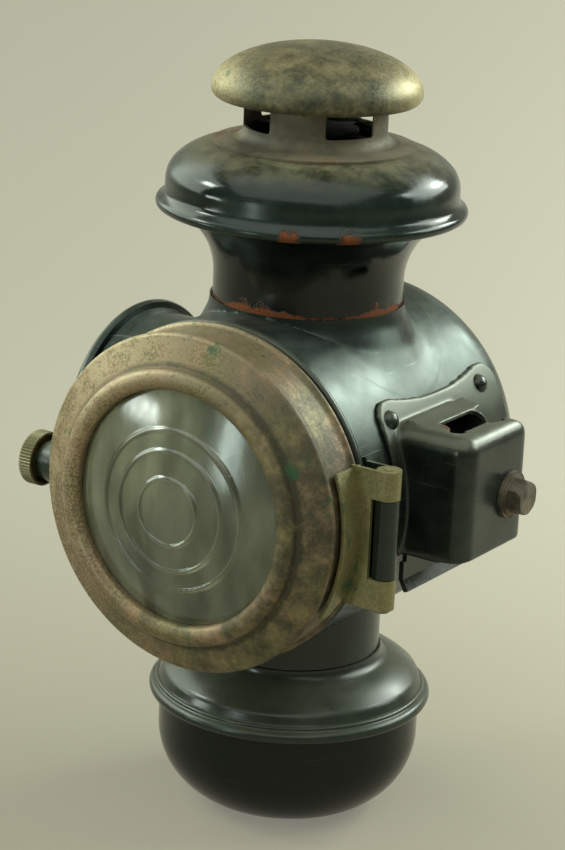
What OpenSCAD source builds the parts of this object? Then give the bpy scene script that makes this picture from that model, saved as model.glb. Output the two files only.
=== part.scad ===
// Oil-burning vehicle lamp with a hinged bull's-eye door, a side window,
// a chimney above, a lift-off font below and a riveted bracket socket.
// The origin is the middle of the font's flat foot. The lens faces -Y.

/* [Sheet metal] */
// Thickness of the body's sheet
sheet_t = 0.8; // [0.6:0.1:1.0]
// Thickness of the bracket's steel
bracket_t = 1.5; // [1.2:0.1:1.8]
// Gap between pieces that move past each other
gap = 0.3; // [0.25:0.05:0.4]
// Radial clearance of a pin or shaft in its bore
fit = 0.06; // [0.03:0.01:0.09]

/* [Font] */
// Radius of the flat foot under the bowl
foot_r = 17; // [14:1:20]
// Radius of the bowl's side
bowl_r = 41; // [39:0.5:42]
// Height at which the bowl's side becomes upright
bowl_turn_z = 24; // [22:1:26]
// Height of the seam between bowl and dome
seam_z = 36.5; // [34:0.5:38]
// How far the rolled lip stands out from the bowl's side
lip_out = 3.3; // [3:0.1:4]
// Height of the shoulder that carries the lamp
shoulder_z = 51.8; // [50:0.2:54]

/* [Burner] */
// Width of the flat wick
wick_w = 12.2; // [10:0.2:13]
// Thickness of the wick
wick_t = 1.6; // [1.4:0.1:2]
// How far the wick stands out of the cone
wick_proud = 0.5; // [0:0.25:2]
// Radius of the burner's cup
cup_r = 12.6; // [12:0.2:13.4]
// Height of the burner's cup
cup_h = 12; // [11:0.5:14]
// Height of the cone above the cup
cone_h = 13; // [11:1:14]
// Tip radius of the star wheels
star_r = 3; // [2.6:0.1:3.2]
// Number of teeth on a star wheel
star_teeth = 8; // [6:1:12]

/* [Drum] */
// Height of the drum's underside above the font's shoulder
drum_rise = 9.1; // [8.1:0.2:11.1]
// Outer radius of the drum
drum_r = 50.9; // [50.5:0.1:51.5]
// Distance from the vertical axis to the drum's front edge
drum_front = 40; // [39:0.5:41]
// Distance from the vertical axis to where the back begins to round
drum_back = 37; // [35:0.5:41]
// Radius of the rounding at the back
back_round = 20; // [14:1:24]
// Depth of the spigot that the door closes over
spigot_depth = 14; // [11:0.5:14]
// Radius of the lower neck
lower_neck_r = 27.5; // [26:0.5:28]

/* [Chimney] */
// Radius of the upper neck
neck_r = 28.8; // [28:0.2:30]
// Height of the seam between drum and upper neck above the drum's side
seam_rise = 0.7; // [0.5:0.1:1.2]
// Radius of the upper neck's flare
flare_r = 22; // [20.5:0.5:23.5]
// Radius of the hood's side
hood_r = 44.1; // [43:0.2:45]
// Height of the upper neck from its seam to the hood's rolled bead
neck_h = 28.2; // [26:0.2:30]
// Height of the hood from its rolled bead to its flat top
hood_h = 18.1; // [17.5:0.1:20]
// Radius of the chimney gallery
gallery_r = 21.5; // [20:0.5:22]
// Width of each gallery window in degrees
window_deg = 44; // [36:2:50]
// Greatest radius of the chimney cap
cap_r = 31.5; // [30:0.5:34]
// Height of the cap's widest ring above the hood's top
gallery_h = 16.5; // [15:0.5:19]
// Height of the cap's crown above its widest ring
cap_rise = 13.8; // [12:0.2:16]

/* [Door] */
// Step from the drum's side in to the door's skirt
skirt_step = 0.7; // [0.4:0.1:0.9]
// Distance from the drum's front edge to the skirt's back edge
skirt_gap = 3.3; // [3.1:0.1:4]
// Width of the skirt from its back edge to the door's outer corner
skirt_w = 16.9; // [16:0.1:18]
// Radius of the lens opening
opening_r = 35.3; // [34:0.1:36]
// Width of the rolled frame round the opening
roll_w = 6.2; // [5.6:0.1:7]
// How far the lens reaches under its frame
lens_lap = 1.6; // [1.2:0.1:2]
// How far the middle of the lens stands before the door's corner
lens_proud = 8.9; // [8.4:0.1:9.6]
// Radius of curvature of the lens face
lens_curve = 109; // [105:1:120]
// Height of each pressed step on the lens
lens_step = 0.45; // [0.3:0.05:0.6]

/* [Hinge and catch] */
// Distance from the skirt's side to the hinge pin
hinge_out = 8.3; // [7.5:0.1:9]
// Radius of the hinge pin
pin_r = 1.5; // [1.2:0.1:1.8]
// Outer radius of the hinge knuckles
knuckle_r = 3.6; // [3.3:0.1:3.8]
// Height of the whole hinge
hinge_h = 41.6; // [38:0.2:44]
// Height of the body's knuckle
middle_knuckle_h = 23.6; // [20:0.2:26]
// Radius of the knurled catch screw
knob_r = 8.4; // [8:0.1:9.5]
// Width of the knurled rim
knob_w = 4.2; // [3:0.2:4.6]
// Number of ridges in the knurl
knurl_count = 54; // [36:2:60]

/* [Side window] */
// Radius of the side window's tube
side_r = 34.5; // [33:0.1:35]
// How far the side tube's lip stands out from the drum
side_l = 10.3; // [9:0.2:12]
// Thickness of the side glass
side_glass_t = 2.5; // [2:0.1:3]

/* [Bracket] */
// Front edge of the bracket plate
plate_front_y = -27; // [-28:0.5:-26]
// Back edge of the bracket plate
plate_back_y = 39.5; // [38.5:0.5:41]
// Radius of the ears that carry the rivets
ear_r = 6; // [5:0.5:7]
// Depth of the socket from the plate's outer face
socket_d = 19.8; // [18:0.2:22]
// Front wall of the socket
socket_front_y = -22; // [-23:0.5:-20]
// Length of the socket along the lamp
socket_l = 36; // [34:0.5:38]
// Top of the socket above the drum's axis
socket_rise = 25.2; // [24.2:0.2:26.2]
// Bottom of the socket's outer wall below the drum's axis
socket_drop = 11.8; // [10:0.2:14]
// Width of the slot in the socket's top
slot_w = 6.5; // [6:0.1:7]
// Length of the slot in the socket's top
slot_l = 26.5; // [24:0.5:27]
// Width across the flats of the bolt head and nut
hex_af = 9.5; // [9:0.1:10.5]
// Radius of the clamp bolt's shank
bolt_r = 3; // [2.5:0.1:3.2]

/* [Hidden] */

// Smoothness of the turned forms
$fn = 96;
black = [0.10, 0.13, 0.12];
nickel = [0.56, 0.52, 0.38];
brass = [0.70, 0.58, 0.30];
rust = [0.38, 0.24, 0.16];

// Font
bowl_bend = bowl_r - foot_r;
lip_r = bowl_r + lip_out;
lip_bend = 2;
collar_r = lower_neck_r - sheet_t - gap;
collar_top_z = shoulder_z + 8.2;
dome_high = 74;
dome_low = 47;
dome_edge_r = lip_r - 4.28;
fillet_r = 3.8;
fillet_centre = [collar_r + 1.6 + fillet_r, shoulder_z + 0.22];
dome_bend = (dome_edge_r - fillet_centre[0] + fillet_r * cos(dome_high)) / (cos(dome_low) - cos(dome_high));
dome_centre = fillet_centre - (dome_bend + fillet_r) * [cos(dome_high), sin(dome_high)];
dome_edge_z = dome_centre[1] + dome_bend * sin(dome_low);
thread_r = 11.2;
burner_ring_r = 13.4;
burner_seat_z = collar_top_z + 2.5;
cup_floor_z = burner_seat_z + 1.5;
cone_z = cup_floor_z + cup_h;
wick_top_z = cone_z + cone_h + wick_proud;
wick_tube_low = collar_top_z - 12;
wick_tube_wall = 0.6;
wick_room = 0.2;
tube_w = wick_w + 2 * (wick_room + wick_tube_wall);
tube_t = wick_t + 2 * (wick_room + gap);
spindle_r = 0.9;
spindle_y = wick_t / 2 + gap + star_r;
spindle_z = burner_seat_z + 8;
spindle_out = 22;
wick_low_z = 16;

// Drum and necks
axis_z = shoulder_z + drum_rise + drum_r;
back_break = 75;
neck_seam_z = axis_z + drum_r + seam_rise;
neck_flare_low_z = neck_seam_z - 5;
collar_bend = 12;
hood_bead_z = neck_seam_z + neck_h;
hood_top_z = hood_bead_z + hood_h;
cap_rim_z = hood_top_z + gallery_h;
bead_r = 1.8;
bead_at = hood_r + 0.9;
flare_margin = 1.54;
flare_deg = acos(1 - (hood_r - flare_margin - neck_r) / flare_r);
neck_flare_z = hood_bead_z - bead_r + 0.5 - flare_r * sin(flare_deg);

// Door
skirt_r = drum_r - skirt_step;
skirt_back = drum_front + skirt_gap;
door_corner = skirt_back + skirt_w;
crease_r = opening_r + roll_w;
lens_r = opening_r + lens_lap;
lens_front = door_corner + lens_proud;
lens_at = function (r) lens_front - lens_curve + sqrt(lens_curve * lens_curve - r * r);
lens_back = lens_at(lens_r) - 2.2;
gasket_room = 0.77;
roll_f = lens_at(opening_r) + gasket_room;
spigot_r = skirt_r - sheet_t - 0.9;
seat_bead_r = 1.2;

// Hinge
hinge_x = skirt_r + hinge_out;
hinge_y = -skirt_back;
hinge_low_z = axis_z - 21.9;
middle_low_z = hinge_low_z + 9.3;
leaf_r = skirt_r + 1.1;
leaf_t = 1;
leaf_front_y = 12.1;
leaf_top_deg = 21.5;
leaf_tail_deg = 29;

// Catch
catch_y = -skirt_back - 8.2;
boss_r = 6.35;
boss_out = skirt_r + 9.4;
knob_out = skirt_r + 12.2;
knob_wall = 0.9;
catch_drop = 0.7;
screw_r = 2;

// Bracket and clamp
plate_r = drum_r + bracket_t;
plate_low_z = axis_z - 15.3;
socket_x = plate_r + socket_d;
socket_top_z = axis_z + socket_rise;
socket_low_z = axis_z - socket_drop;
rivet_rise = 1.4;
ear_z = socket_top_z + rivet_rise - 1.1;
rivet_deg = asin((socket_top_z + rivet_rise - axis_z) / plate_r);
rivet_ys = [plate_front_y + 5.2, plate_back_y - 10.2];
rivet_r = 1.6;
rivet_head_r = 3;
slot_x = socket_x - 11;
slot_y = 1.2;
clamp_y = 3;
clamp_z = axis_z + 3.7;
washer_t = 2;
bolt_head_h = 4.2;
nut_h = 4.5;
socket_round = 4.5;
socket_far_round = 8;
shelf_bend = 16;

// Side window
side_hole_r = side_r - sheet_t;
side_out = drum_r + side_l;
side_seat = side_out - 7.2;

// An arc as points with outward normals; bulge is -1 where the metal curves inwards
function arc(cx, cy, r, a0, a1, bulge = 1, n = 8) =
    [for (i = [0:n]) let (a = a0 + (a1 - a0) * i / n)
        [cx + r * cos(a), cy + r * sin(a), bulge * cos(a), bulge * sin(a)]];

// A quarter of an oval that stands on its widest ring
function oval(rx, ry, cy, n = 14) =
    [for (i = [0:n]) let (a = 90 * i / n, m = norm([cos(a) / rx, sin(a) / ry]))
        [rx * cos(a), cy + ry * sin(a), cos(a) / rx / m, sin(a) / ry / m]];

// A straight stretch with its outward normal
function straight(p, q) = let (d = norm(q - p), n = [q[1] - p[1], p[0] - q[0]] / d)
    [concat(p, n), concat(q, n)];

// A corner arc followed by a shallow crown that closes on the axis
function crowned(r, turn, bend, a) = let (crown = (r - bend + bend * cos(a)) / cos(a))
    concat(arc(r - bend, turn, bend, 0, a),
        [for (i = [1:8]) let (b = a + (90 - a) * i / 8)
            [crown * cos(b), turn + (bend - crown) * sin(a) + crown * sin(b), cos(b), sin(b)]]);

function moved(path, t) = [for (p = path) [p[0] - t * p[2], p[1] - t * p[3]]];
function backwards(list) = [for (i = [len(list) - 1:-1:0]) list[i]];

// A sheet of thickness t that lies inside a path
module skin(path, t) polygon(concat(moved(path, 0), backwards(moved(path, t))));

// The area between a path, moved in by t, and the axis
module filled(path, t = 0) {
    edge = moved(path, t);
    polygon(concat([[0, edge[0][1]]], edge, [[0, edge[len(edge) - 1][1]]]));
}

module spun() rotate_extrude() children();
module tube(r, t, low, high) translate([0, 0, low]) difference() {
    cylinder(r = r, h = high - low);
    translate([0, 0, -1]) cylinder(r = r - t, h = high - low + 2);
}

// Frames whose Z runs to the back, the front, the left and the right of the lamp
module to_back() translate([0, 0, axis_z]) rotate([-90, 0, 0]) children();
module to_front() translate([0, 0, axis_z]) rotate([90, 0, 0]) children();
module to_left() translate([0, 0, axis_z]) rotate([0, -90, 0]) children();
module to_right(y, z) translate([0, y, z]) rotate([0, 90, 0]) children();

// A frame whose Z runs outwards through the drum's side at a given angle and place
module out_of_drum(deg, y) translate([0, y, axis_z]) rotate([0, 90 - deg, 0]) children();

// A box between two corners
module block(low, high) translate(low) cube(high - low);

// A rectangle with round corners; those at the far side may be larger
module rounded(low, high, r, far = 0) {
    big = max(r, far);
    translate([low[0] + r, low[1]]) square([high[0] - low[0] - r - big, high[1] - low[1]]);
    translate([low[0], low[1] + r]) square([r + 1, high[1] - low[1] - 2 * r]);
    translate([high[0] - big - 1, low[1] + big]) square([big + 1, high[1] - low[1] - 2 * big]);
    for (y = [low[1] + r, high[1] - r]) translate([low[0] + r, y]) circle(r);
    for (y = [low[1] + big, high[1] - big]) translate([high[0] - big, y]) circle(big);
}

// Font

bowl_path = concat(
    straight([foot_r - 4, 0], [foot_r - 1, 0]),
    arc(foot_r, bowl_turn_z, bowl_bend, -90, 0),
    straight([bowl_r, bowl_turn_z + 1], [bowl_r, seam_z + sheet_t / 2]));

module font_bowl() color(black) spun() {
    difference() {
        union() {
            filled(bowl_path);
            translate([0, seam_z - sheet_t / 2]) square([lip_r - lip_bend + 0.6, sheet_t]);
        }
        filled(bowl_path, sheet_t);
        translate([0, bowl_turn_z]) square([bowl_r - sheet_t, seam_z]);
    }
}

dome_path = concat(
    arc(lip_r - lip_bend, seam_z, lip_bend, -75, 80),
    straight([lip_r - 3, seam_z + 3.2], [dome_edge_r + 0.58, dome_edge_z - 0.84]),
    arc(dome_centre[0], dome_centre[1], dome_bend, dome_low, dome_high),
    backwards(arc(fillet_centre[0], fillet_centre[1], fillet_r, 180, 180 + dome_high, -1)));

module font_dome() color(black) spun() {
    skin(dome_path, sheet_t);
    translate([lip_r - 2.7, seam_z + 2.3]) circle(0.8);
    translate([collar_r - sheet_t, shoulder_z - sheet_t])
        square([fillet_centre[0] - fillet_r - collar_r + sheet_t, sheet_t]);
    translate([collar_r - sheet_t, shoulder_z - sheet_t])
        square([sheet_t, collar_top_z - shoulder_z + sheet_t]);
    translate([burner_ring_r, collar_top_z - sheet_t]) square([collar_r - burner_ring_r, sheet_t]);
}

module burner_collar() color(brass) {
    tube(burner_ring_r, burner_ring_r - thread_r, collar_top_z - 5, burner_seat_z);
    tube(burner_ring_r + 1.8, 1.9, collar_top_z, collar_top_z + 1);
}

module wick_slot(low, high) translate([-tube_w / 2, -tube_t / 2, low]) cube([tube_w, tube_t, high - low]);

module burner_body() color(brass) difference() {
    union() {
        translate([0, 0, collar_top_z - 6]) cylinder(r = thread_r - fit, h = cup_floor_z - collar_top_z + 6);
        translate([0, 0, burner_seat_z]) cylinder(r = cup_r + 1.6, h = cup_floor_z - burner_seat_z);
        tube(cup_r, sheet_t, cup_floor_z, cone_z);
    }
    wick_slot(0, 100);
    translate([0, 0, collar_top_z - 7]) cylinder(r = thread_r - 2, h = cup_floor_z - collar_top_z + 5.8);
    to_right(spindle_y, spindle_z) translate([0, 0, -20]) cylinder(r = spindle_r + fit, h = 40);
    for (i = [0:11]) rotate([0, 0, 15 + 30 * i]) translate([cup_r, 0, cup_floor_z + 2.5])
        rotate([0, 90, 0]) cylinder(r = 1, h = 4, center = true);
}

module wick_tube() color(brass) difference() {
    wick_slot(wick_tube_low, wick_top_z - 3);
    translate([-wick_w / 2 - wick_room, -wick_t / 2 - wick_room, wick_tube_low - 1])
        cube([wick_w + 2 * wick_room, wick_t + 2 * wick_room, wick_top_z - wick_tube_low]);
    for (x = [-1, 1]) block([x * wick_w / 4 - 1.2, 0, spindle_z - star_r - 0.6],
        [x * wick_w / 4 + 1.2, tube_t, spindle_z + star_r + 0.6]);
}

module burner_cone() color(brass) difference() {
    spun() skin(concat(straight([cup_r, cone_z], [cup_r, cone_z + 0.6]),
        oval(cup_r, cone_h, cone_z + 0.7)), sheet_t);
    translate([-tube_w / 2 - 0.5, -tube_t / 2 - 0.6, cone_z + 3]) cube([tube_w + 1, tube_t + 1.2, 20]);
}

module wick() color([0.80, 0.76, 0.64])
    block([-wick_w / 2, -wick_t / 2, wick_low_z], [wick_w / 2, wick_t / 2, wick_top_z]);

module wick_spindle() color(brass) to_right(spindle_y, spindle_z)
    translate([0, 0, -cup_r]) cylinder(r = spindle_r, h = cup_r + spindle_out);

// Wheels whose points raise the wick as the spindle turns
module star_wheels() color(brass) to_right(spindle_y, spindle_z)
    for (x = [-1, 1]) translate([0, 0, x * wick_w / 4 - 0.6]) linear_extrude(1.2) difference() {
        polygon([for (i = [0:2 * star_teeth - 1]) let (a = 180 * i / star_teeth,
            r = i % 2 == 0 ? star_r : star_r - 0.9) r * [cos(a), sin(a)]]);
        circle(spindle_r);
    }

module ridged(r, count, depth, h) linear_extrude(h) polygon([for (i = [0:2 * count - 1])
    let (a = 180 * i / count) (i % 2 == 0 ? r : r - depth) * [cos(a), sin(a)]]);

module wick_knob() color(brass) to_right(spindle_y, spindle_z) difference() {
    translate([0, 0, spindle_out - 3]) ridged(4.4, 24, 0.3, 2.6);
    cylinder(r = spindle_r, h = spindle_out + 5);
}

// Body

drum_path = concat(
    straight([drum_r, -drum_front], [drum_r, drum_back - 1]),
    crowned(drum_r, drum_back, back_round, back_break));

// The raised collar that meets the upper neck at a flat seam
collar_slope = collar_bend - sqrt(collar_bend * collar_bend - 25);
collar_deg = asin(5 / collar_bend);
collar_path = concat(
    straight([neck_r + sheet_t + collar_slope + 14 * tan(collar_deg), neck_flare_low_z - 14],
        [neck_r + sheet_t + collar_slope + 0.3 * tan(collar_deg), neck_flare_low_z - 0.3]),
    backwards(arc(neck_r + sheet_t + collar_bend, neck_seam_z, collar_bend, 180, 180 + collar_deg, -1)));

module drum_space(t) {
    to_back() spun() filled(drum_path, t);
    spun() filled(collar_path, t);
}

module rivet_places() for (y = rivet_ys) out_of_drum(rivet_deg, y) children();

module drum() color(black) difference() {
    drum_space(0);
    drum_space(sheet_t);
    to_back() translate([0, 0, -drum_front - 1]) cylinder(r = drum_r - sheet_t, h = 2);
    translate([0, 0, neck_seam_z - 2]) cylinder(r = neck_r, h = 4);
    translate([0, 0, axis_z - drum_r - 1]) cylinder(r = lower_neck_r, h = drum_r);
    to_left() cylinder(r = side_hole_r, h = drum_r + 5);
    rivet_places() cylinder(r = rivet_r, h = drum_r + 3);
}

// Rolled bead and spigot that the door closes against
module door_seat_ring() color(black) to_back() spun() {
    translate([drum_r - 2 * sheet_t, -drum_front]) square([sheet_t, 7]);
    translate([drum_r - 0.7, -drum_front - seat_bead_r]) circle(seat_bead_r);
    translate([spigot_r - sheet_t, -drum_front - 2]) square([drum_r - 0.7 - spigot_r + sheet_t, 1.2]);
    translate([spigot_r - sheet_t, -drum_front - spigot_depth]) square([sheet_t, spigot_depth - 1]);
    translate([drum_r - 2 * sheet_t, -drum_front - 1.4]) square([sheet_t, 2]);
}

// The sleeve's upper edge follows the drum's underside; its lower edge clears the font's shoulder
module lower_neck() color(black) {
    inside_r = drum_r - sheet_t + 0.1;
    top = axis_z - sqrt(pow(inside_r, 2) - pow(lower_neck_r, 2));
    difference() {
        tube(lower_neck_r, sheet_t, fillet_centre[1] + gap, top + 1);
        to_back() translate([0, 0, -lower_neck_r - 1]) cylinder(r = inside_r, h = 2 * lower_neck_r + 2);
    }
}

flare_out = neck_r + flare_r * (1 - cos(flare_deg));
upper_neck_path = concat(
    straight([neck_r, neck_seam_z - 5], [neck_r, neck_flare_z - 0.3]),
    backwards(arc(neck_r + flare_r, neck_flare_z, flare_r, 180 - flare_deg, 180, -1, 10)),
    straight([flare_out + 1, hood_bead_z - bead_r + 0.6], [bead_at - 0.4, hood_bead_z - bead_r + 0.8]));

module upper_neck() color(black) spun() skin(upper_neck_path, sheet_t);

hood_side = 9;
hood_top = 18.2;
hood_turn_z = hood_top_z - hood_side - (hood_top - hood_side) * (1 - sin(45));
hood_path = concat(
    straight([hood_r + 0.6, hood_bead_z + 1], [hood_r, hood_turn_z - 0.3]),
    arc(hood_r - hood_side, hood_turn_z, hood_side, 5, 45),
    [for (p = arc(hood_r - hood_side - (hood_top - hood_side) * cos(45), hood_top_z - hood_top,
        hood_top, 48, 90)) p],
    straight([gallery_r + 4, hood_top_z], [gallery_r, hood_top_z]));

// The bead at its lower edge is rolled round the rim of the upper neck
module hood() color(black) spun() {
    skin(hood_path, sheet_t);
    difference() {
        translate([bead_at, hood_bead_z]) circle(bead_r);
        translate([bead_at, hood_bead_z]) circle(bead_r - sheet_t);
        skin(upper_neck_path, sheet_t);
    }
}

gallery_bend = 3.5;
gallery_flange_r = 30.2;
sill_z = hood_top_z + 5.3;
gallery_top_z = cap_rim_z - 1.7;
gallery_path = concat(
    straight([gallery_flange_r, hood_top_z + sheet_t], [gallery_r + gallery_bend + 0.3, hood_top_z + 1.6]),
    backwards(arc(gallery_r + gallery_bend, hood_top_z + 1.6 + gallery_bend, gallery_bend, 180, 265, -1)),
    straight([gallery_r, hood_top_z + 5.4], [gallery_r, gallery_top_z]));

// Ring of four window openings; their corners are round
module chimney_gallery() color([0.42, 0.40, 0.33]) difference() {
    spun() skin(gallery_path, sheet_t);
    for (i = [0:3]) rotate([0, 0, -117 + 90 * i]) gallery_window();
}

module gallery_window() {
    half = gallery_r * sin(window_deg / 2);
    rotate([90, 0, 90]) linear_extrude(gallery_r + 2)
        rounded([-half, sill_z], [half, gallery_top_z - 2.4], 1.2);
}

cap_curl = 3.2;
cap_path = concat(
    arc(cap_r - cap_curl, cap_rim_z, cap_curl, -50, -4),
    oval(cap_r, cap_rise, cap_rim_z));

module chimney_cap() color(nickel) {
    spun() skin(cap_path, sheet_t);
    difference() {
        tube(gallery_r + sheet_t, sheet_t, gallery_top_z - 2.4, cap_rim_z + cap_rise);
        spun() difference() {
            translate([0, cap_rim_z]) square([cap_r, cap_rise + 5]);
            filled(oval(cap_r, cap_rise, cap_rim_z), sheet_t);
        }
    }
}

// Spun funnel that gathers the smoke into a narrow flue
module flue_funnel() color(black) spun() {
    mouth = neck_r - sheet_t;
    throat = 17;
    polygon([[mouth, neck_seam_z - 3], [mouth, neck_seam_z - 0.5], [throat, neck_seam_z + 12],
        [throat, hood_top_z - 5], [throat - sheet_t, hood_top_z - 5], [throat - sheet_t, neck_seam_z + 11.5],
        [mouth - sheet_t, neck_seam_z - 1], [mouth - sheet_t, neck_seam_z - 3]]);
}

// Disc on four straps that keeps a down draught from the flame
module draft_baffle() color(black) {
    reach = gallery_r - sheet_t;
    translate([0, 0, sill_z - 0.8]) cylinder(r = 13, h = 0.6);
    difference() {
        for (i = [0:1]) rotate([0, 0, 90 * i])
            block([-reach - 1, -2, sill_z - 1.4], [reach + 1, 2, sill_z - 0.8]);
        tube(reach + 5, 5, sill_z - 5, sill_z + 5);
    }
}

// Dished reflector; the flame stands near its focus
reflector_focus = drum_back - 3;
reflector_r = drum_r - 6.9;
reflector_t = 0.6;
module reflector() color([0.75, 0.75, 0.72]) to_back() spun() {
    rise = function (r) reflector_focus - r * r / (4 * reflector_focus);
    steps = 12;
    front = [for (i = [0:steps]) let (r = reflector_r * i / steps) [r, rise(r)]];
    polygon(concat(front, backwards([for (p = front) [p[0], p[1] + reflector_t]])));
    translate([reflector_r - 0.1, rise(reflector_r)])
        square([drum_r - sheet_t - reflector_r + 0.1, reflector_t]);
}

// Side window

side_path = concat(
    straight([side_r, 30], [side_r, side_out - 5]),
    backwards(arc(side_r + 6, side_out - 4.7, 6, 180 - 40, 180, -1)));

module side_window_housing() color(black) difference() {
    to_left() spun() {
        skin(side_path, sheet_t);
        translate([side_r + 2.1, side_out]) circle(1.3);
        translate([side_r - 2.4, side_seat - sheet_t]) square([2.4, sheet_t]);
    }
    to_back() translate([0, 0, -drum_front]) cylinder(r = drum_r, h = 2 * drum_front);
}

module side_glass() color([0.80, 0.88, 0.84, 0.5]) to_left()
    translate([0, 0, side_seat]) cylinder(r = side_r - sheet_t - 0.1, h = side_glass_t);

// Sprung wire that keeps the side glass in its seat
module side_glass_clip() color(brass) to_left() difference() {
    spun() translate([side_r - sheet_t - 0.65, side_seat + side_glass_t + 0.6]) circle(0.6, $fn = 24);
    translate([side_r - sheet_t, 0, side_seat + side_glass_t]) cube([6, 5, 6], center = true);
}

// Hinge

module knuckle(low, high) translate([hinge_x, hinge_y, low]) cylinder(r = knuckle_r, h = high - low);
module pin_bore(r) translate([hinge_x, hinge_y, 0]) cylinder(r = r, h = 200);

// A curved band on the drum's side between two angles
module band(r, t, from_y, to_y, from_deg, to_deg) translate([0, from_y, axis_z]) rotate([-90, 0, 0])
    rotate([0, 0, -to_deg]) rotate_extrude(angle = to_deg - from_deg)
        translate([r, 0]) square([t, to_y - from_y]);

// The web reaches past the door's knuckles with a gap behind them
module hinge_bracket() color(black) {
    low = middle_low_z + gap / 2;
    high = middle_low_z + middle_knuckle_h - gap / 2;
    web_y = hinge_y + knuckle_r + gap;
    web_t = 1.2;
    difference() {
        union() {
            knuckle(low, high);
            block([hinge_x - knuckle_r, hinge_y, low], [hinge_x - 0.2, web_y + web_t, high]);
            block([drum_r - 6, web_y, hinge_low_z + 1],
                [hinge_x - knuckle_r + 0.2, web_y + web_t, hinge_low_z + hinge_h - 0.6]);
        }
        pin_bore(pin_r);
        to_back() translate([0, 0, -drum_front - 1]) cylinder(r = drum_r + 0.3, h = 20);
    }
    band(drum_r, leaf_t, web_y + 0.2, web_y + 9, -23, 23);
}

module hinge_pin() color(brass) translate([hinge_x, hinge_y, hinge_low_z - 1]) {
    cylinder(r = pin_r, h = hinge_h + 1.2);
    cylinder(r = pin_r + 0.8, h = 0.9);
}

// Leaf brazed to the skirt; its plate ends in a knuckle above and below the bracket's
module door_hinge_leaf() color(nickel) {
    high = hinge_low_z + hinge_h;
    room_low = middle_low_z - gap / 2;
    room_high = middle_low_z + middle_knuckle_h + gap / 2;
    front = hinge_y - knuckle_r;
    tail_z = axis_z - leaf_r * sin(leaf_tail_deg);
    difference() {
        union() {
            knuckle(hinge_low_z, high);
            block([leaf_r - 6, front, hinge_low_z], [hinge_x, front + 1.2, high]);
            block([hinge_x - 3, front, hinge_low_z], [hinge_x, front + 2.4, high]);
        }
        pin_bore(pin_r + fit);
        translate([hinge_x, hinge_y, room_low]) linear_extrude(room_high - room_low) {
            circle(knuckle_r + gap);
            translate([gap - knuckle_r, -knuckle_r - 1]) square(9);
        }
        to_front() cylinder(r = leaf_r + 0.5, h = door_corner);
    }
    difference() {
        band(leaf_r, leaf_t, hinge_y - leaf_front_y, hinge_y + 0.1, -leaf_tail_deg, leaf_top_deg);
        translate([leaf_r, hinge_y - 0.2, tail_z - 2.8]) rotate([0, 90, 0])
            cylinder(r = 8, h = 20, center = true);
    }
}

// Door

face_slope = 18;
rim_bend = 1.6;
roll_r = (crease_r - opening_r) / 2;
door_path = concat(
    straight([skirt_r, skirt_back + 1], [skirt_r, door_corner - 3.2]),
    arc(skirt_r + 0.85 - rim_bend, door_corner - rim_bend, rim_bend, -20, 90 - face_slope),
    [concat([crease_r + 0.4, roll_f - 0.6], [sin(face_slope), cos(face_slope)])],
    arc(opening_r + roll_r, roll_f, roll_r, 12, 178, 1, 12));

module door_bezel() color(nickel) difference() {
    to_front() spun() {
        skin(door_path, sheet_t);
        translate([skirt_r + 0.1, skirt_back + 1]) circle(1);
    }
    catch_line() cylinder(r = screw_r + fit, h = 60);
    to_front() translate([0, 0, skirt_back - 1]) cylinder(r = skirt_r - sheet_t, h = 4);
}

// Convex face with three pressed steps, flat behind
module lens() color([0.82, 0.88, 0.84, 0.5]) to_front() spun() {
    rings = lens_r * [0.274, 0.488, 0.65, 1];
    for (i = [0:3]) {
        inner = i == 0 ? 0 : rings[i - 1];
        outer = rings[i];
        drop = i < 3 ? 0 : lens_step;
        polygon(concat([[inner, lens_back]],
            [for (j = [0:6]) let (r = inner + (outer - inner) * j / 6)
                [r, lens_at(r) - (i < 3 ? lens_step * (r - inner) / (outer - inner) : 0)]],
            [[outer, lens_back]]));
    }
}

module lens_gasket() color([0.30, 0.24, 0.18]) to_front() spun()
    polygon([[opening_r + 0.1, lens_at(opening_r + 0.1)], [lens_r, lens_at(lens_r)], [lens_r, roll_f - 0.1],
        [opening_r + 0.1, roll_f - 0.1]]);

// Back of the door's sloping face at a given radius
face_back = function (r) let (a = moved(door_path, sheet_t)[11], b = moved(door_path, sheet_t)[10])
    a[1] + (b[1] - a[1]) * (r - a[0]) / (b[0] - a[0]);

// Pressed ring that holds the lens from behind
module lens_retainer() color(brass) to_front() spun() {
    rim = crease_r + 0.345 * (skirt_r - crease_r);
    translate([opening_r - 0.6, lens_back - 0.7]) square([rim - opening_r + 0.6, 0.7]);
    translate([rim - 0.7, lens_back - 0.7]) square([0.7, face_back(rim) - lens_back + 0.6]);
}

// Catch

module catch_line() to_left() translate([-catch_drop, catch_y, 0]) children();

module catch_boss() color(black) difference() {
    catch_line() spun() polygon(concat(
        [[0, skirt_r - 2.2], [boss_r + 0.8, skirt_r - 2.2], [boss_r + 0.8, skirt_r + 1.2]],
        moved(arc(boss_r - 2.4, boss_out - 3.4, 2.4, 0, 90), 0),
        [[3, boss_out - 1], [3, boss_out], [0, boss_out]]));
    to_front() cylinder(r = skirt_r + 1.1, h = door_corner - 3.2);
    to_front() cylinder(r = skirt_r + 0.9, h = door_corner + 10);
    catch_line() cylinder(r = screw_r + fit, h = 70);
}

// Knurled cup and its screw, which bears on the spigot
module catch_screw() color(nickel) catch_line() {
    difference() {
        translate([0, 0, knob_out - knob_w]) ridged(knob_r, knurl_count, 0.35, knob_w);
        translate([0, 0, knob_out - knob_w - 1]) cylinder(r = knob_r - knob_wall, h = knob_w);
    }
    translate([0, 0, spigot_r + 0.7]) cylinder(r = screw_r, h = knob_out - spigot_r - 1.2);
}

// Bracket

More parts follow.
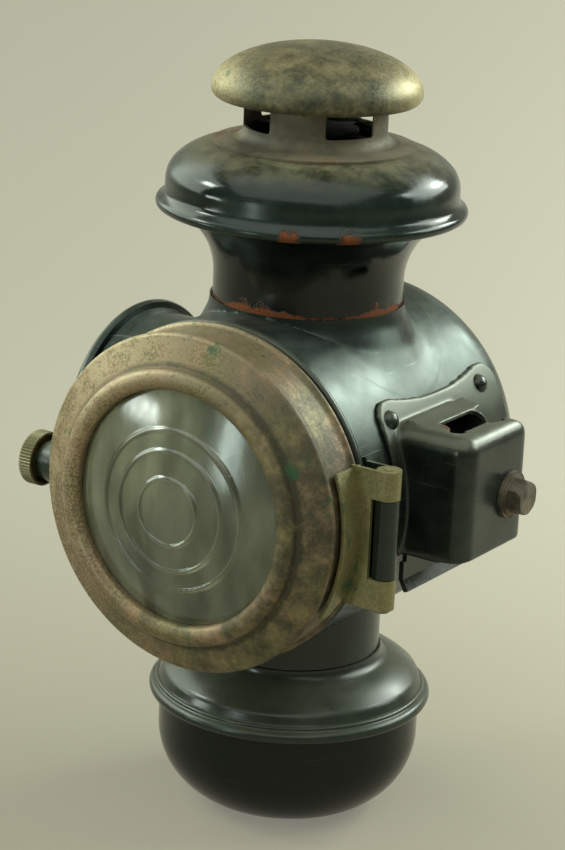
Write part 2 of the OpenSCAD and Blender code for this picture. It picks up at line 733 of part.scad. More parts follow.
module plate_outline() difference() {
    rounded([plate_front_y, plate_low_z], [plate_back_y, ear_z + ear_r], ear_r);
    translate([(plate_front_y + plate_back_y) / 2, ear_z + 3.2 + 110]) circle(110);
}

// Socket as three crossed prisms, smaller all round by t
module socket_block(t, low) intersection() {
    rotate([90, 0, 90]) linear_extrude(socket_x - t) rounded([socket_front_y + t, low],
        [socket_front_y + socket_l - t, socket_top_z - t], socket_round - t, socket_far_round - t);
    translate([0, 200, 0]) rotate([90, 0, 0]) linear_extrude(400)
        rounded([20, low], [socket_x - t, socket_top_z - t], socket_round - t);
    linear_extrude(200) rounded([20, socket_front_y + t], [socket_x - t, socket_front_y + socket_l - t],
        socket_round - t);
}

// Rising fillet where the plate turns out into the socket's top
module shelf() {
    rise = socket_top_z + shelf_bend;
    shelf_x = sqrt(pow(plate_r + shelf_bend, 2) - pow(rise - axis_z, 2));
    long = socket_l - socket_round;
    translate([0, socket_front_y + socket_l, 0]) rotate([90, 0, 0]) linear_extrude(long) difference() {
        translate([drum_r - 14, socket_top_z - 3]) square([shelf_x - drum_r + 14, 12]);
        translate([0, axis_z]) circle(drum_r);
        translate([shelf_x, rise]) circle(shelf_bend);
    }
}

module socket_slot() translate([0, 0, socket_top_z - 20]) linear_extrude(40) {
    rounded([slot_x - slot_w / 2, slot_y - slot_l / 2], [slot_x + slot_w / 2, slot_y + slot_l / 2], 1.5);
    translate([slot_x, slot_y + slot_l / 4]) circle(slot_w / 2 + 1.2);
}

module lamp_bracket() color(black) difference() {
    union() {
        difference() {
            intersection() {
                rotate([90, 0, 90]) linear_extrude(drum_r + 10) plate_outline();
                to_back() translate([0, 0, plate_front_y - 1]) cylinder(r = plate_r, h = 80);
            }
            to_back() translate([0, 0, plate_front_y - 2]) cylinder(r = drum_r, h = 90);
        }
        difference() {
            union() {
                socket_block(0, plate_low_z);
                intersection() {
                    shelf();
                    rotate([90, 0, 90]) linear_extrude(socket_x) plate_outline();
                }
            }
            to_back() translate([0, 0, plate_front_y - 2]) cylinder(r = drum_r, h = 90);
        }
    }
    socket_block(bracket_t, socket_low_z - 20);
    mouth_cut();
    socket_slot();
    to_right(clamp_y, clamp_z) cylinder(r = bolt_r + 0.2, h = 90);
    rivet_places() cylinder(r = rivet_r, h = drum_r + 3);
}

// Sloping cut that makes the socket's lower edge rise towards its outer face
module mouth_cut() translate([0, plate_back_y + 1, 0]) rotate([90, 0, 0]) linear_extrude(80)
    polygon([[plate_r, plate_low_z - 20], [plate_r, plate_low_z], [socket_x + 1, socket_low_z],
        [socket_x + 1, plate_low_z - 20]]);

// Flat guide inside the socket, with a flared lower lip
module socket_liner() color(black) {
    far_y = socket_front_y + socket_l;
    liner_sheet(socket_front_y + bracket_t, far_y - bracket_t, plate_low_z - 2, socket_top_z - 9);
    liner_sheet(socket_front_y, far_y, plate_low_z - 6, plate_low_z - 0.4);
    translate([drum_r, far_y, plate_low_z - 6]) rotate([90, 0, 0]) linear_extrude(socket_l)
        polygon([[0, 0.2], [bracket_t, 0.2], [bracket_t + 2, -3], [2, -3.6]]);
}

module liner_sheet(from_y, to_y, low, high)
    block([drum_r, from_y, low], [drum_r + bracket_t, to_y, high]);

module bracket_rivets() color(black) rivet_places() {
    translate([0, 0, drum_r - sheet_t - 1]) cylinder(r = rivet_r, h = bracket_t + sheet_t + 1.2);
    intersection() {
        translate([0, 0, plate_r - 1.25]) sphere(r = 3.25);
        translate([0, 0, plate_r + 0.02]) cylinder(r = rivet_head_r, h = 5);
    }
    translate([0, 0, drum_r - sheet_t - 1]) cylinder(r = rivet_head_r - 0.6, h = 0.9);
}

// Clamp

module hexagon(h) cylinder(r = hex_af / 2 / cos(30), h = h, $fn = 6);

module clamp_nut() color(rust) to_right(clamp_y, clamp_z) difference() {
    translate([0, 0, socket_x - bracket_t - nut_h]) hexagon(nut_h);
    cylinder(r = bolt_r + fit, h = 90);
}

module clamp_washer() color(rust) to_right(clamp_y, clamp_z) difference() {
    translate([0, 0, socket_x + 0.1]) {
        cylinder(r = 7.2, h = washer_t - 0.8);
        cylinder(r = 6.2, h = washer_t - 0.1);
    }
    cylinder(r = bolt_r + fit, h = 90);
}

module clamp_bolt() color(rust) to_right(clamp_y, clamp_z) {
    translate([0, 0, socket_x + washer_t + 0.1]) intersection() {
        hexagon(bolt_head_h);
        cylinder(r1 = 6.5, r2 = 4.9, h = bolt_head_h + 0.1);
    }
    translate([0, 0, slot_x + slot_w / 2 + 1])
        cylinder(r = bolt_r, h = socket_x + washer_t - slot_x - slot_w / 2);
}

font_bowl();
font_dome();
burner_collar();
burner_body();
wick_tube();
burner_cone();
wick();
wick_spindle();
star_wheels();
wick_knob();
drum();
door_seat_ring();
lower_neck();
upper_neck();
hood();
chimney_gallery();
chimney_cap();
flue_funnel();
draft_baffle();
reflector();
side_window_housing();
side_glass();
side_glass_clip();
hinge_bracket();
hinge_pin();
lamp_bracket();
socket_liner();
bracket_rivets();
clamp_nut();
clamp_washer();
clamp_bolt();
door_bezel();
lens();
lens_gasket();
lens_retainer();
door_hinge_leaf();
catch_boss();
catch_screw();
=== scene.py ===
import math
import bpy
from mathutils import Matrix, Vector


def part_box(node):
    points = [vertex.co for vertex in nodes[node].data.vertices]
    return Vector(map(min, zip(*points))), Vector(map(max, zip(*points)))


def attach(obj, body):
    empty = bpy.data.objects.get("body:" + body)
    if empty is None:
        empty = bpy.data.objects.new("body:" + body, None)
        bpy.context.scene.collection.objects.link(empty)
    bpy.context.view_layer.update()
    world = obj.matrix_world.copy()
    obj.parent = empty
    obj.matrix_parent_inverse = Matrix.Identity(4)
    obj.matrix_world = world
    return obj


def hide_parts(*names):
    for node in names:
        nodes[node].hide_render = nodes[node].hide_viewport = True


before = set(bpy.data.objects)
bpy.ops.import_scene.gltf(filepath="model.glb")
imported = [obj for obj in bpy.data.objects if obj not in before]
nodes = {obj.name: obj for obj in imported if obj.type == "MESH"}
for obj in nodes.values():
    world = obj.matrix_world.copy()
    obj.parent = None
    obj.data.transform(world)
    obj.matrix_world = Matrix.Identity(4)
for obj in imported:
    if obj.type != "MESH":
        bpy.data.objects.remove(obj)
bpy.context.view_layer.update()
mm = 0.001
print("frame loaded:", len(nodes), "CAD nodes")


def linear(hexColour):  # sRGB hex to a linear colour with alpha
    parts = [int(hexColour[i:i + 2], 16) / 255 for i in (1, 3, 5)]
    return [p / 12.92 if p <= 0.04045 else ((p + 0.055) / 1.055) ** 2.4 for p in parts] + [1]


def addNode(tree, kind, inputs=None, output=None, **settings):
    # a node with its settings, links and values; a value that is text is a hex colour
    node = tree.nodes.new("ShaderNode" + kind)
    for name, value in settings.items():
        setattr(node, name, value)
    for name, value in (inputs or {}).items():
        if isinstance(value, bpy.types.NodeSocket):
            tree.links.new(value, node.inputs[name])
        else:
            node.inputs[name].default_value = linear(value) if isinstance(value, str) else value
    return node.outputs[output] if output else node


def newTree(name):  # an empty node material
    material = bpy.data.materials.new(name)
    material.use_nodes = True
    material.node_tree.nodes.clear()
    return material, material.node_tree


# Studio

photo = {
    "width": 565, "height": 850,
    "focalPixels": 2602.0, "rollDeg": 2.72,
    "offsetRight": 18.6, "offsetDown": 7.8,  # how far the aim lies from the picture's middle, in pixels
    "aim": Vector((0, 0, 119.7)) * mm,
    "azimuthDeg": 33.12, "elevationDeg": 17.43, "distance": 799.8 * mm,
}


def outward(azimuthDeg, elevationDeg):  # the direction from the lamp to what stands there
    azimuth, elevation = math.radians(azimuthDeg), math.radians(elevationDeg)
    return Vector((math.sin(azimuth) * math.cos(elevation), -math.cos(azimuth) * math.cos(elevation),
                   math.sin(elevation)))


def placeCamera():
    data = bpy.data.cameras.new("photoCamera")
    camera = bpy.data.objects.new("photoCamera", data)
    bpy.context.scene.collection.objects.link(camera)
    back = outward(photo["azimuthDeg"], photo["elevationDeg"])
    camera.location = photo["aim"] + back * photo["distance"]
    turn = Matrix.Rotation(math.radians(photo["rollDeg"]), 4, "Z")
    camera.rotation_euler = ((-back).to_track_quat("-Z", "Y").to_matrix().to_4x4() @ turn).to_euler()
    longSide = max(photo["width"], photo["height"])
    data.sensor_width = 36
    data.lens = photo["focalPixels"] / longSide * data.sensor_width
    data.shift_x = -photo["offsetRight"] / longSide
    data.shift_y = photo["offsetDown"] / longSide
    data.clip_start = 0.01
    data.clip_end = 20
    bpy.context.scene.camera = camera


viewTurn = math.radians(photo["azimuthDeg"])
towardsRight = Vector((math.cos(viewTurn), math.sin(viewTurn), 0))
towardsFront = Vector((math.sin(viewTurn), -math.cos(viewTurn), 0))

sweep = {  # paper sweep: floor, bend and backdrop in one sheet, in metres
    "halfWidth": 3.0, "front": -3.0, "back": 1.3, "bend": 0.9, "top": 3.2, "steps": 24,
    # painted shade: the left and table colours are darker than the right and the wall, for light that falls
    # weaker there
    "wallLeft": "#847e71", "wallRight": "#9e998b", "tableLeft": "#635d48", "tableRight": "#958e79",
    "glow": 0.2, "glowColour": "#fffce9",
}


def paperMaterial():
    # matt background paper: no gloss; painted shade: its colour is darker to the left and on the table, where
    # less light falls, with a faint glow of its own, seen directly or mirrored, that keeps the table's shadow
    # soft
    material, tree = newTree("matt background paper")
    coords = addNode(tree, "TexCoord", output="Object")
    across = addNode(tree, "VectorMath", {0: coords, 1: towardsRight}, "Value", operation="DOT_PRODUCT")
    forward = addNode(tree, "VectorMath", {0: coords, 1: towardsFront}, "Value", operation="DOT_PRODUCT")
    side = addNode(tree, "MapRange", {"Value": across, "From Min": -0.3, "From Max": 0.3}, "Result",
                   interpolation_type="SMOOTHSTEP")
    behind = addNode(tree, "MapRange", {
        "Value": forward, "From Min": 0.1, "From Max": -0.4}, "Result", interpolation_type="SMOOTHSTEP")
    # painted shade: the darker left and table colours are mixed in here
    table, wall = [addNode(tree, "Mix", {"Factor": side, "A": sweep[part + "Left"],
                                         "B": sweep[part + "Right"]}, "Result", data_type="RGBA")
                   for part in ("table", "wall")]
    colour = addNode(tree, "Mix", {"Factor": behind, "A": table, "B": wall}, "Result", data_type="RGBA")
    path = addNode(tree, "LightPath").outputs
    looked = path["Is Camera Ray"]
    for ray in ("Is Glossy Ray", "Is Transmission Ray"):  # metal and glass mirror the same paper
        looked = addNode(tree, "Math", {0: looked, 1: path[ray]}, "Value", operation="MAXIMUM")
    glow = addNode(tree, "Math", {0: looked, 1: sweep["glow"]}, "Value", operation="MULTIPLY")
    paper = addNode(tree, "BsdfPrincipled", {
        "Base Color": colour, "Roughness": 0.95, "Specular IOR Level": 0.1, "Emission Strength": glow,
        "Emission Color": sweep["glowColour"]}, "BSDF")
    reverse = addNode(tree, "NewGeometry", output="Backfacing")
    gap = addNode(tree, "BsdfTransparent", output="BSDF")
    sheet = addNode(tree, "MixShader", {0: reverse, 1: paper, 2: gap}, "Shader")  # its back hides nothing
    addNode(tree, "OutputMaterial", {"Surface": sheet})
    return material


def buildSweep():
    outline = [(sweep["front"], 0), (sweep["back"] - sweep["bend"], 0)]
    for i in range(1, sweep["steps"] + 1):
        turn = math.pi / 2 * i / sweep["steps"]
        outline.append((sweep["back"] - sweep["bend"] + sweep["bend"] * math.sin(turn),
                        sweep["bend"] * (1 - math.cos(turn))))
    outline.append((sweep["back"], sweep["top"]))
    mesh = bpy.data.meshes.new("sweep")
    points = [(side * sweep["halfWidth"], y, z) for y, z in outline for side in (-1, 1)]
    faces = [(2 * i, 2 * i + 1, 2 * i + 3, 2 * i + 2) for i in range(len(outline) - 1)]
    mesh.from_pydata(points, [], faces)
    mesh.polygons.foreach_set("use_smooth", [True] * len(faces))
    mesh.transform(Matrix.Rotation(viewTurn, 4, "Z"))
    mesh.materials.append(paperMaterial())
    backdrop = bpy.data.objects.new("sweep", mesh)
    bpy.context.scene.collection.objects.link(backdrop)


softboxes = {
    "leftBox": (-84, 26, 0.95, (0.9, 0.7), 6.0, "#eefaea"),
    "rightBox": (146, 30, 0.95, (0.7, 0.45), 7.0, "#effaef"),
    "topFill": (15, 66, 1.5, (2.6, 2.0), 21.0, "#f2fbee"),
    "leftLamp": (-63, 33, 1.0, (0.2, 0.13), 1.6, "#f3fff4"),
    "rightLamp": (160, 30, 1.0, (0.24, 0.16), 2.2, "#f3fff6"),
    "lowWindow": (-46, 6, 0.8, (0.19, 0.075), 0.55, "#effcf0"),
    "leftWindow": (-11, 4, 0.7, (0.08, 0.28), 0.48, "#e0f6f0"),
    "rightWindow": (120, 35, 1.2, (0.14, 0.24), 0.9, "#e0f6f0"),
}
roomLight = {"colour": "#dfe0d4", "strength": 0.24}


def placeLights():
    for name, (azimuth, elevation, distance, size, power, colour) in softboxes.items():
        data = bpy.data.lights.new(name, "AREA")
        data.shape = "RECTANGLE"
        data.size, data.size_y = size
        data.energy = power
        data.color = linear(colour)[:3]
        lamp = bpy.data.objects.new(name, data)
        bpy.context.scene.collection.objects.link(lamp)
        away = outward(azimuth, elevation)
        lamp.location = photo["aim"] + away * distance
        lamp.rotation_euler = (-away).to_track_quat("-Z", "Y").to_euler()
    world = bpy.data.worlds.new("room")
    world.use_nodes = True
    world.node_tree.nodes.clear()
    glow = addNode(world.node_tree, "Background", {
        "Color": roomLight["colour"], "Strength": roomLight["strength"]}, "Background")
    addNode(world.node_tree, "OutputWorld", {"Surface": glow})
    bpy.context.scene.world = world
    bpy.context.scene.view_settings.view_transform = "Standard"


placeCamera()
buildSweep()
placeLights()
print("studio ready")

# Materials


def spotMask(tree, coords, spots):  # one where a place lies in a spot, fading to its edge
    mask = None
    for x, y, z, radius, amount in spots:
        away = addNode(tree, "VectorMath", {
            0: coords, 1: Vector((x, y, z)) * mm}, "Value", operation="DISTANCE")
        near = addNode(tree, "MapRange", {
            "Value": away, "From Min": radius * mm, "From Max": 0, "To Max": amount}, "Result")
        if mask is None:
            mask = near
        else:
            mask = addNode(tree, "Math", {0: mask, 1: near}, "Value", operation="MAXIMUM")
    return mask


enamelLayers = {  # what the coating is mottled by: grain in mm, detail, roughness
    "fine": (1.8, 8, 0.7), "grit": (0.5, 2, 0.5), "peel": (5, 3, 0.5), "dent": (24, 2, 0.5),
    "cloud": (9, 8, 0.72), "flakes": (1.6, 6, 0.85),
}
hairScratch = {"length": 22, "width": 0.7, "lean": (0.5, 0.3, 0)}  # mm; drawn coarse enough to show
dustFade = 7 * mm


def bakedEnamel(name, finish):
    # black baked enamel on sheet steel: wet gloss with slight orange peel, dulled by haze and dust on
    # what faces up, scratched by handling and rusted at its seams
    material, tree = newTree(name)
    place = addNode(tree, "TexCoord")
    coords, normal = place.outputs["Object"], place.outputs["Normal"]
    layer = {}
    for grain, (size, detail, roughness) in ({"broad": (finish["patch"], 6, 0.6)} | enamelLayers).items():
        layer[grain] = addNode(tree, "TexNoise", {
            "Vector": coords, "Scale": 1 / (size * mm), "Detail": detail, "Roughness": roughness}, "Fac")
    cloudy = addNode(tree, "MapRange", {
        "Value": layer["broad"], "From Min": 0.34, "From Max": 0.7}, "Result")
    mottled = addNode(tree, "Mix", {
        "Factor": cloudy, "A": finish["pigment"], "B": finish["faded"]}, "Result", data_type="RGBA")
    # haze lies on what faces up, in patches
    facing = addNode(tree, "SeparateXYZ", {"Vector": normal}, "Z")
    height = addNode(tree, "SeparateXYZ", {"Vector": coords}, "Z")
    dusty = addNode(tree, "MapRange", {
        "Value": facing, "From Min": finish["dustFrom"], "From Max": 1.0}, "Result")
    settled = addNode(tree, "MapRange", {"Value": height, "From Min": finish["dustAbove"],
                                         "From Max": finish["dustAbove"] + dustFade}, "Result")
    cloud = addNode(tree, "MapRange", {
        "Value": layer["cloud"], "From Min": 0.4, "From Max": 0.6, "To Min": finish["dustEven"]}, "Result")
    for share in (settled, cloud, finish["dust"]):
        dusty = addNode(tree, "Math", {0: dusty, 1: share}, "Value", operation="MULTIPLY")
    # hair scratches run round the turned forms and down the sides
    along, across = 1 / (hairScratch["length"] * mm), 1 / (hairScratch["width"] * mm)
    stretch = addNode(tree, "Mapping", {
        "Vector": coords, "Scale": (along, along, across), "Rotation": hairScratch["lean"]}, "Vector")
    hairs = addNode(tree, "TexNoise", {
        "Vector": stretch, "Scale": 1.0, "Detail": 3, "Roughness": 0.6}, "Fac")
    hairs = addNode(tree, "MapRange", {
        "Value": hairs, "From Min": 0.66, "From Max": 0.85, "To Max": finish["scratch"]}, "Result")
    # rust in rings at the seams and in spots, broken up by flakes
    spread = layer["flakes"]
    for ring in finish["rustRings"]:
        offset = addNode(tree, "Math", {0: height, 1: ring["z"]}, "Value", operation="SUBTRACT")
        near = addNode(tree, "Math", {0: offset}, "Value", operation="ABSOLUTE")
        band = addNode(tree, "MapRange", {
            "Value": near, "From Min": ring["half"], "From Max": 0, "To Max": ring["amount"]}, "Result")
        spread = addNode(tree, "Math", {0: spread, 1: band}, "Value", operation="ADD")
    spots = spotMask(tree, coords, finish["rustSpots"])
    if spots is not None:
        spread = addNode(tree, "Math", {0: spread, 1: spots}, "Value", operation="ADD")
    rusty = addNode(tree, "MapRange", {
        "Value": spread, "From Min": finish["rustFrom"], "From Max": finish["rustFrom"] + 0.08}, "Result")
    rustTone = addNode(tree, "Mix", {
        "Factor": layer["grit"], "A": finish["rustDark"], "B": finish["rust"]}, "Result", data_type="RGBA")
    # pin-prick chips show pale primer
    chips = addNode(tree, "MapRange", {"Value": layer["fine"], "From Min": finish["chipFrom"],
                                       "From Max": finish["chipFrom"] + 0.03}, "Result")
    colour = mottled
    for cover, tone in ((dusty, finish["haze"]), (hairs, finish["scuff"]), (rusty, rustTone),
                        (chips, finish["chip"])):
        colour = addNode(tree, "Mix", {"Factor": cover, "A": colour, "B": tone}, "Result", data_type="RGBA")
    # gloss: wet where clean, dull under haze, scratches and rust
    gloss = addNode(tree, "MapRange", {
        "Value": layer["broad"], "From Min": 0.35, "From Max": 0.7, "To Min": finish["gloss"],
        "To Max": finish["dull"]}, "Result")
    for cover, dulling in ((dusty, 0.4), (hairs, 0.3), (rusty, 0.6)):
        gloss = addNode(tree, "Math", {
            0: cover, 1: dulling, 2: gloss}, "Value", operation="MULTIPLY_ADD", use_clamp=True)
    metal = addNode(tree, "MapRange", {
        "Value": rusty, "To Min": finish["metallic"], "To Max": 0.0}, "Result")
    relief = addNode(tree, "Math", {
        0: layer["dent"], 1: finish["dents"], 2: layer["peel"]}, "Value", operation="MULTIPLY_ADD")
    waves = addNode(tree, "Bump", {"Height": relief, "Strength": 1.0, "Distance": 0.05 * mm}, "Normal")
    crust = addNode(tree, "Math", {0: rusty, 1: layer["grit"]}, "Value", operation="MULTIPLY")
    rough = addNode(tree, "Bump", {
        "Height": crust, "Strength": 1.0, "Distance": 0.3 * mm, "Normal": waves}, "Normal")
    coating = addNode(tree, "BsdfPrincipled", {
        "Base Color": colour, "Roughness": gloss, "Normal": rough, "Metallic": metal, "IOR": 1.5,
        "Specular IOR Level": finish["shine"]}, "BSDF")
    addNode(tree, "OutputMaterial", {"Surface": coating})
    return material


plateLayers = {"middle": (7, 9, 0.7), "fine": (0.8, 4, 0.7), "green": (11, 5, 0.65)}  # as enamelLayers


def tarnishedMetal(name, finish):
    # plated brass long unpolished: satin metal under olive and pink-brown tarnish, speckled where the
    # plate is pitted, with a little green where it has gone
    material, tree = newTree(name)
    coords = addNode(tree, "TexCoord", output="Object")
    layer = {}
    for grain, (size, detail, roughness) in ({"broad": (finish["patch"], 5, 0.55)} | plateLayers).items():
        layer[grain] = addNode(tree, "TexNoise", {
            "Vector": coords, "Scale": 1 / (size * mm), "Detail": detail, "Roughness": roughness}, "Fac")
    middle, fine = layer["middle"], layer["fine"]
    warm = addNode(tree, "MapRange", {"Value": layer["broad"], "From Min": 0.38, "From Max": 0.62}, "Result")
    colour = addNode(tree, "Mix", {
        "Factor": warm, "A": finish["olive"], "B": finish["pink"]}, "Result", data_type="RGBA")
    smoke = addNode(tree, "MapRange", {
        "Value": middle, "From Min": 0.38, "From Max": 0.66, "To Max": finish["mottle"]}, "Result")
    dots = addNode(tree, "MapRange", {
        "Value": fine, "From Min": 0.45, "From Max": 0.8, "To Max": finish["sand"]}, "Result")
    # bright speckle where the plate still shines, leaned to one side as a painted highlight
    paintedHighlightLean = addNode(tree, "VectorMath", {
        0: coords, 1: finish["paintedHighlightSide"]}, "Value", operation="DOT_PRODUCT")
    if finish["bothSides"]:
        paintedHighlightLean = addNode(tree, "Math", {0: paintedHighlightLean}, "Value", operation="ABSOLUTE")
    shining = addNode(tree, "Math", {0: paintedHighlightLean, 1: middle}, "Value", operation="ADD")
    shining = addNode(tree, "Math", {0: fine, 1: 0.6, 2: shining}, "Value", operation="MULTIPLY_ADD")
    wearAndPaintedHighlight = addNode(tree, "MapRange", {
        "Value": shining, "From Min": finish["brightFrom"], "From Max": finish["brightFrom"] + 0.22,
        "To Max": 0.85}, "Result")
    # dark pitting, leaned to the other side as painted shade where less light falls
    paintedShadeLean = addNode(tree, "VectorMath", {
        0: coords, 1: finish["paintedShadeSide"]}, "Value", operation="DOT_PRODUCT")
    gathered = addNode(tree, "Math", {0: paintedShadeLean, 1: middle}, "Value", operation="ADD")
    gathered = addNode(tree, "Math", {0: fine, 1: 0.8, 2: gathered}, "Value", operation="MULTIPLY_ADD")
    for ring in finish["grimeRings"]:  # dirt left in the grooves about the lens
        offset = addNode(tree, "VectorMath", {0: coords, 1: lampAxis}, "Vector", operation="SUBTRACT")
        flat = addNode(tree, "VectorMath", {0: offset, 1: (1, 0, 1)}, "Vector", operation="MULTIPLY")
        radius = addNode(tree, "VectorMath", {0: flat}, "Value", operation="LENGTH")
        away = addNode(tree, "Math", {0: radius, 1: ring["radius"] * mm}, "Value", operation="SUBTRACT")
        away = addNode(tree, "Math", {0: away}, "Value", operation="ABSOLUTE")
        dirt = addNode(tree, "MapRange", {
            "Value": away, "From Min": ring["half"] * mm, "From Max": 0, "To Max": ring["amount"]}, "Result")
        gathered = addNode(tree, "Math", {0: gathered, 1: dirt}, "Value", operation="ADD")
    pitsAndPaintedShade = addNode(tree, "MapRange", {
        "Value": gathered, "From Min": finish["pitAndShadeFrom"], "From Max": finish["pitAndShadeFrom"] + 0.3,
        "To Max": finish["pitAndShadeDepth"]}, "Result")
    # verdigris in a few spots
    verdigris = addNode(tree, "MapRange", {
        "Value": layer["green"], "From Min": finish["greenFrom"], "From Max": finish["greenFrom"] + 0.06,
        "To Max": 0.8}, "Result")
    # the pit tone darkens pits and the painted shade; the bright tone lightens wear and the painted highlight
    for cover, tone in ((smoke, "pitAndShadeTone"), (dots, "bright"), (wearAndPaintedHighlight, "bright"), (pitsAndPaintedShade, "pitAndShadeTone"),
                        (verdigris, "green")):
        colour = addNode(tree, "Mix", {
            "Factor": cover, "A": colour, "B": finish[tone]}, "Result", data_type="RGBA")
    gloss = addNode(tree, "MapRange", {
        "Value": middle, "From Min": 0.3, "From Max": 0.7, "To Min": finish["dull"],
        "To Max": finish["gloss"]}, "Result")
    gloss = addNode(tree, "Math", {
        0: pitsAndPaintedShade, 1: 0.25, 2: gloss}, "Value", operation="MULTIPLY_ADD", use_clamp=True)
    metal = addNode(tree, "MapRange", {"Value": pitsAndPaintedShade, "To Min": finish["metallic"], "To Max": 0.2}, "Result")
    relief = addNode(tree, "Math", {0: fine, 1: 0.35, 2: middle}, "Value", operation="MULTIPLY_ADD")
    rough = addNode(tree, "Bump", {"Height": relief, "Strength": 1.0, "Distance": 0.12 * mm}, "Normal")
    plate = addNode(tree, "BsdfPrincipled", {
        "Base Color": colour, "Roughness": gloss, "Normal": rough, "Metallic": metal}, "BSDF")
    addNode(tree, "OutputMaterial", {"Surface": plate})
    return material


def dullSteel(name, finish):
    # bare or sooted sheet steel, dull and mottled, with rust where it has been handled or heated
    material, tree = newTree(name)
    coords = addNode(tree, "TexCoord", output="Object")
    broad = addNode(tree, "TexNoise", {
        "Vector": coords, "Scale": 1 / (finish["patch"] * mm), "Detail": 6, "Roughness": 0.65}, "Fac")
    fine = addNode(tree, "TexNoise", {
        "Vector": coords, "Scale": 1 / (finish["grain"] * mm), "Detail": 8, "Roughness": 0.7}, "Fac")
    tone = addNode(tree, "MapRange", {"Value": broad, "From Min": 0.35, "From Max": 0.65}, "Result")
    base = addNode(tree, "Mix", {"Factor": tone, "A": finish["dark"], "B": finish["pale"]}, "Result",
                   data_type="RGBA")
    rusting = addNode(tree, "Math", {0: fine, 1: 0.5, 2: broad}, "Value", operation="MULTIPLY_ADD")
    rusty = addNode(tree, "MapRange", {
        "Value": rusting, "From Min": finish["rustFrom"], "From Max": finish["rustFrom"] + 0.14,
        "To Max": 0.85}, "Result")
    colour = addNode(tree, "Mix", {
        "Factor": rusty, "A": base, "B": finish["rust"]}, "Result", data_type="RGBA")
    gloss = addNode(tree, "MapRange", {
        "Value": fine, "From Min": 0.3, "From Max": 0.7, "To Min": finish["gloss"],
        "To Max": finish["dull"]}, "Result")
    rough = addNode(tree, "Bump", {"Height": fine, "Strength": 1.0, "Distance": 0.1 * mm}, "Normal")
    sheet = addNode(tree, "BsdfPrincipled", {
        "Base Color": colour, "Roughness": gloss, "Normal": rough, "Metallic": finish["metallic"]}, "BSDF")
    addNode(tree, "OutputMaterial", {"Surface": sheet})
    return material


glassFlow = {"waves": 9, "runWidth": 8, "runLength": 26, "runLean": 0.25}  # mm, and radians


def pressedGlass(name, finish):
    # pressed glass: soft inside from the mould and from old soot, with a fire-polished skin
    material, tree = newTree(name)
    coords = addNode(tree, "TexCoord", output="Object")
    flow = addNode(tree, "TexNoise", {"Vector": coords, "Scale": 1 / (glassFlow["waves"] * mm), "Detail": 2},
                   "Fac")
    wide, tall = 1 / (glassFlow["runWidth"] * mm), 1 / (glassFlow["runLength"] * mm)
    runs = addNode(tree, "Mapping", {
        "Vector": coords, "Scale": (wide, wide, tall), "Rotation": (0, glassFlow["runLean"], 0)}, "Vector")
    film = addNode(tree, "TexNoise", {"Vector": runs, "Scale": 1.0, "Detail": 3}, "Fac")
    gloss = addNode(tree, "MapRange", {
        "Value": film, "From Min": 0.35, "From Max": 0.7, "To Min": finish["gloss"],
        "To Max": finish["dull"]}, "Result")
    waves = addNode(tree, "Bump", {"Height": flow, "Strength": 1.0, "Distance": 0.05 * mm}, "Normal")
    streaks = addNode(tree, "MapRange", {"Value": film, "From Min": 0.36, "From Max": 0.64}, "Result")
    clouded = addNode(tree, "Mix", {
        "Factor": streaks, "A": finish["tint"], "B": finish["cloud"]}, "Result", data_type="RGBA")
    glass = addNode(tree, "BsdfPrincipled", {
        "Base Color": clouded, "Roughness": gloss, "IOR": 1.5, "Transmission Weight": finish["clear"],
        "Normal": waves, "Coat Weight": finish["coat"], "Coat Roughness": finish["skin"],
        "Coat Normal": waves}, "BSDF")
    clear = addNode(tree, "BsdfTransparent", {"Color": finish["tint"]}, "BSDF")
    shadow = addNode(tree, "LightPath", output="Is Shadow Ray")
    lit = addNode(tree, "MixShader", {0: shadow, 1: glass, 2: clear}, "Shader")  # light passes the pane
    addNode(tree, "OutputMaterial", {"Surface": lit})
    return material


wickLook = {  # thread spacing and a wave's turn, and where the char starts and is full
    "thread": 1.2 * mm, "waveTurn": 6.28, "charFrom": 84 * mm, "charTo": 89 * mm, "dark": "#a89a78",
    "pale": "#d8cfb0", "char": "#1a1512",
}


def wovenCotton(name):
    # flat woven lamp wick: off-white cotton, charred at the lit end
    material, tree = newTree(name)
    coords = addNode(tree, "TexCoord", output="Object")
    bands = 1 / wickLook["thread"] / wickLook["waveTurn"]
    warp = addNode(tree, "TexWave", {
        "Vector": coords, "Scale": bands, "Distortion": 1.5}, "Fac", bands_direction="Z")
    height = addNode(tree, "SeparateXYZ", {"Vector": coords}, "Z")
    char = addNode(tree, "MapRange", {
        "Value": height, "From Min": wickLook["charFrom"], "From Max": wickLook["charTo"]}, "Result")
    cotton = addNode(tree, "Mix", {
        "Factor": warp, "A": wickLook["dark"], "B": wickLook["pale"]}, "Result", data_type="RGBA")
    colour = addNode(tree, "Mix", {
        "Factor": char, "A": cotton, "B": wickLook["char"]}, "Result", data_type="RGBA")
    ribs = addNode(tree, "Bump", {"Height": warp, "Strength": 1.0, "Distance": 0.15 * mm}, "Normal")
    cloth = addNode(tree, "BsdfPrincipled", {"Base Color": colour, "Roughness": 0.9, "Normal": ribs}, "BSDF")
    addNode(tree, "OutputMaterial", {"Surface": cloth})
    return material


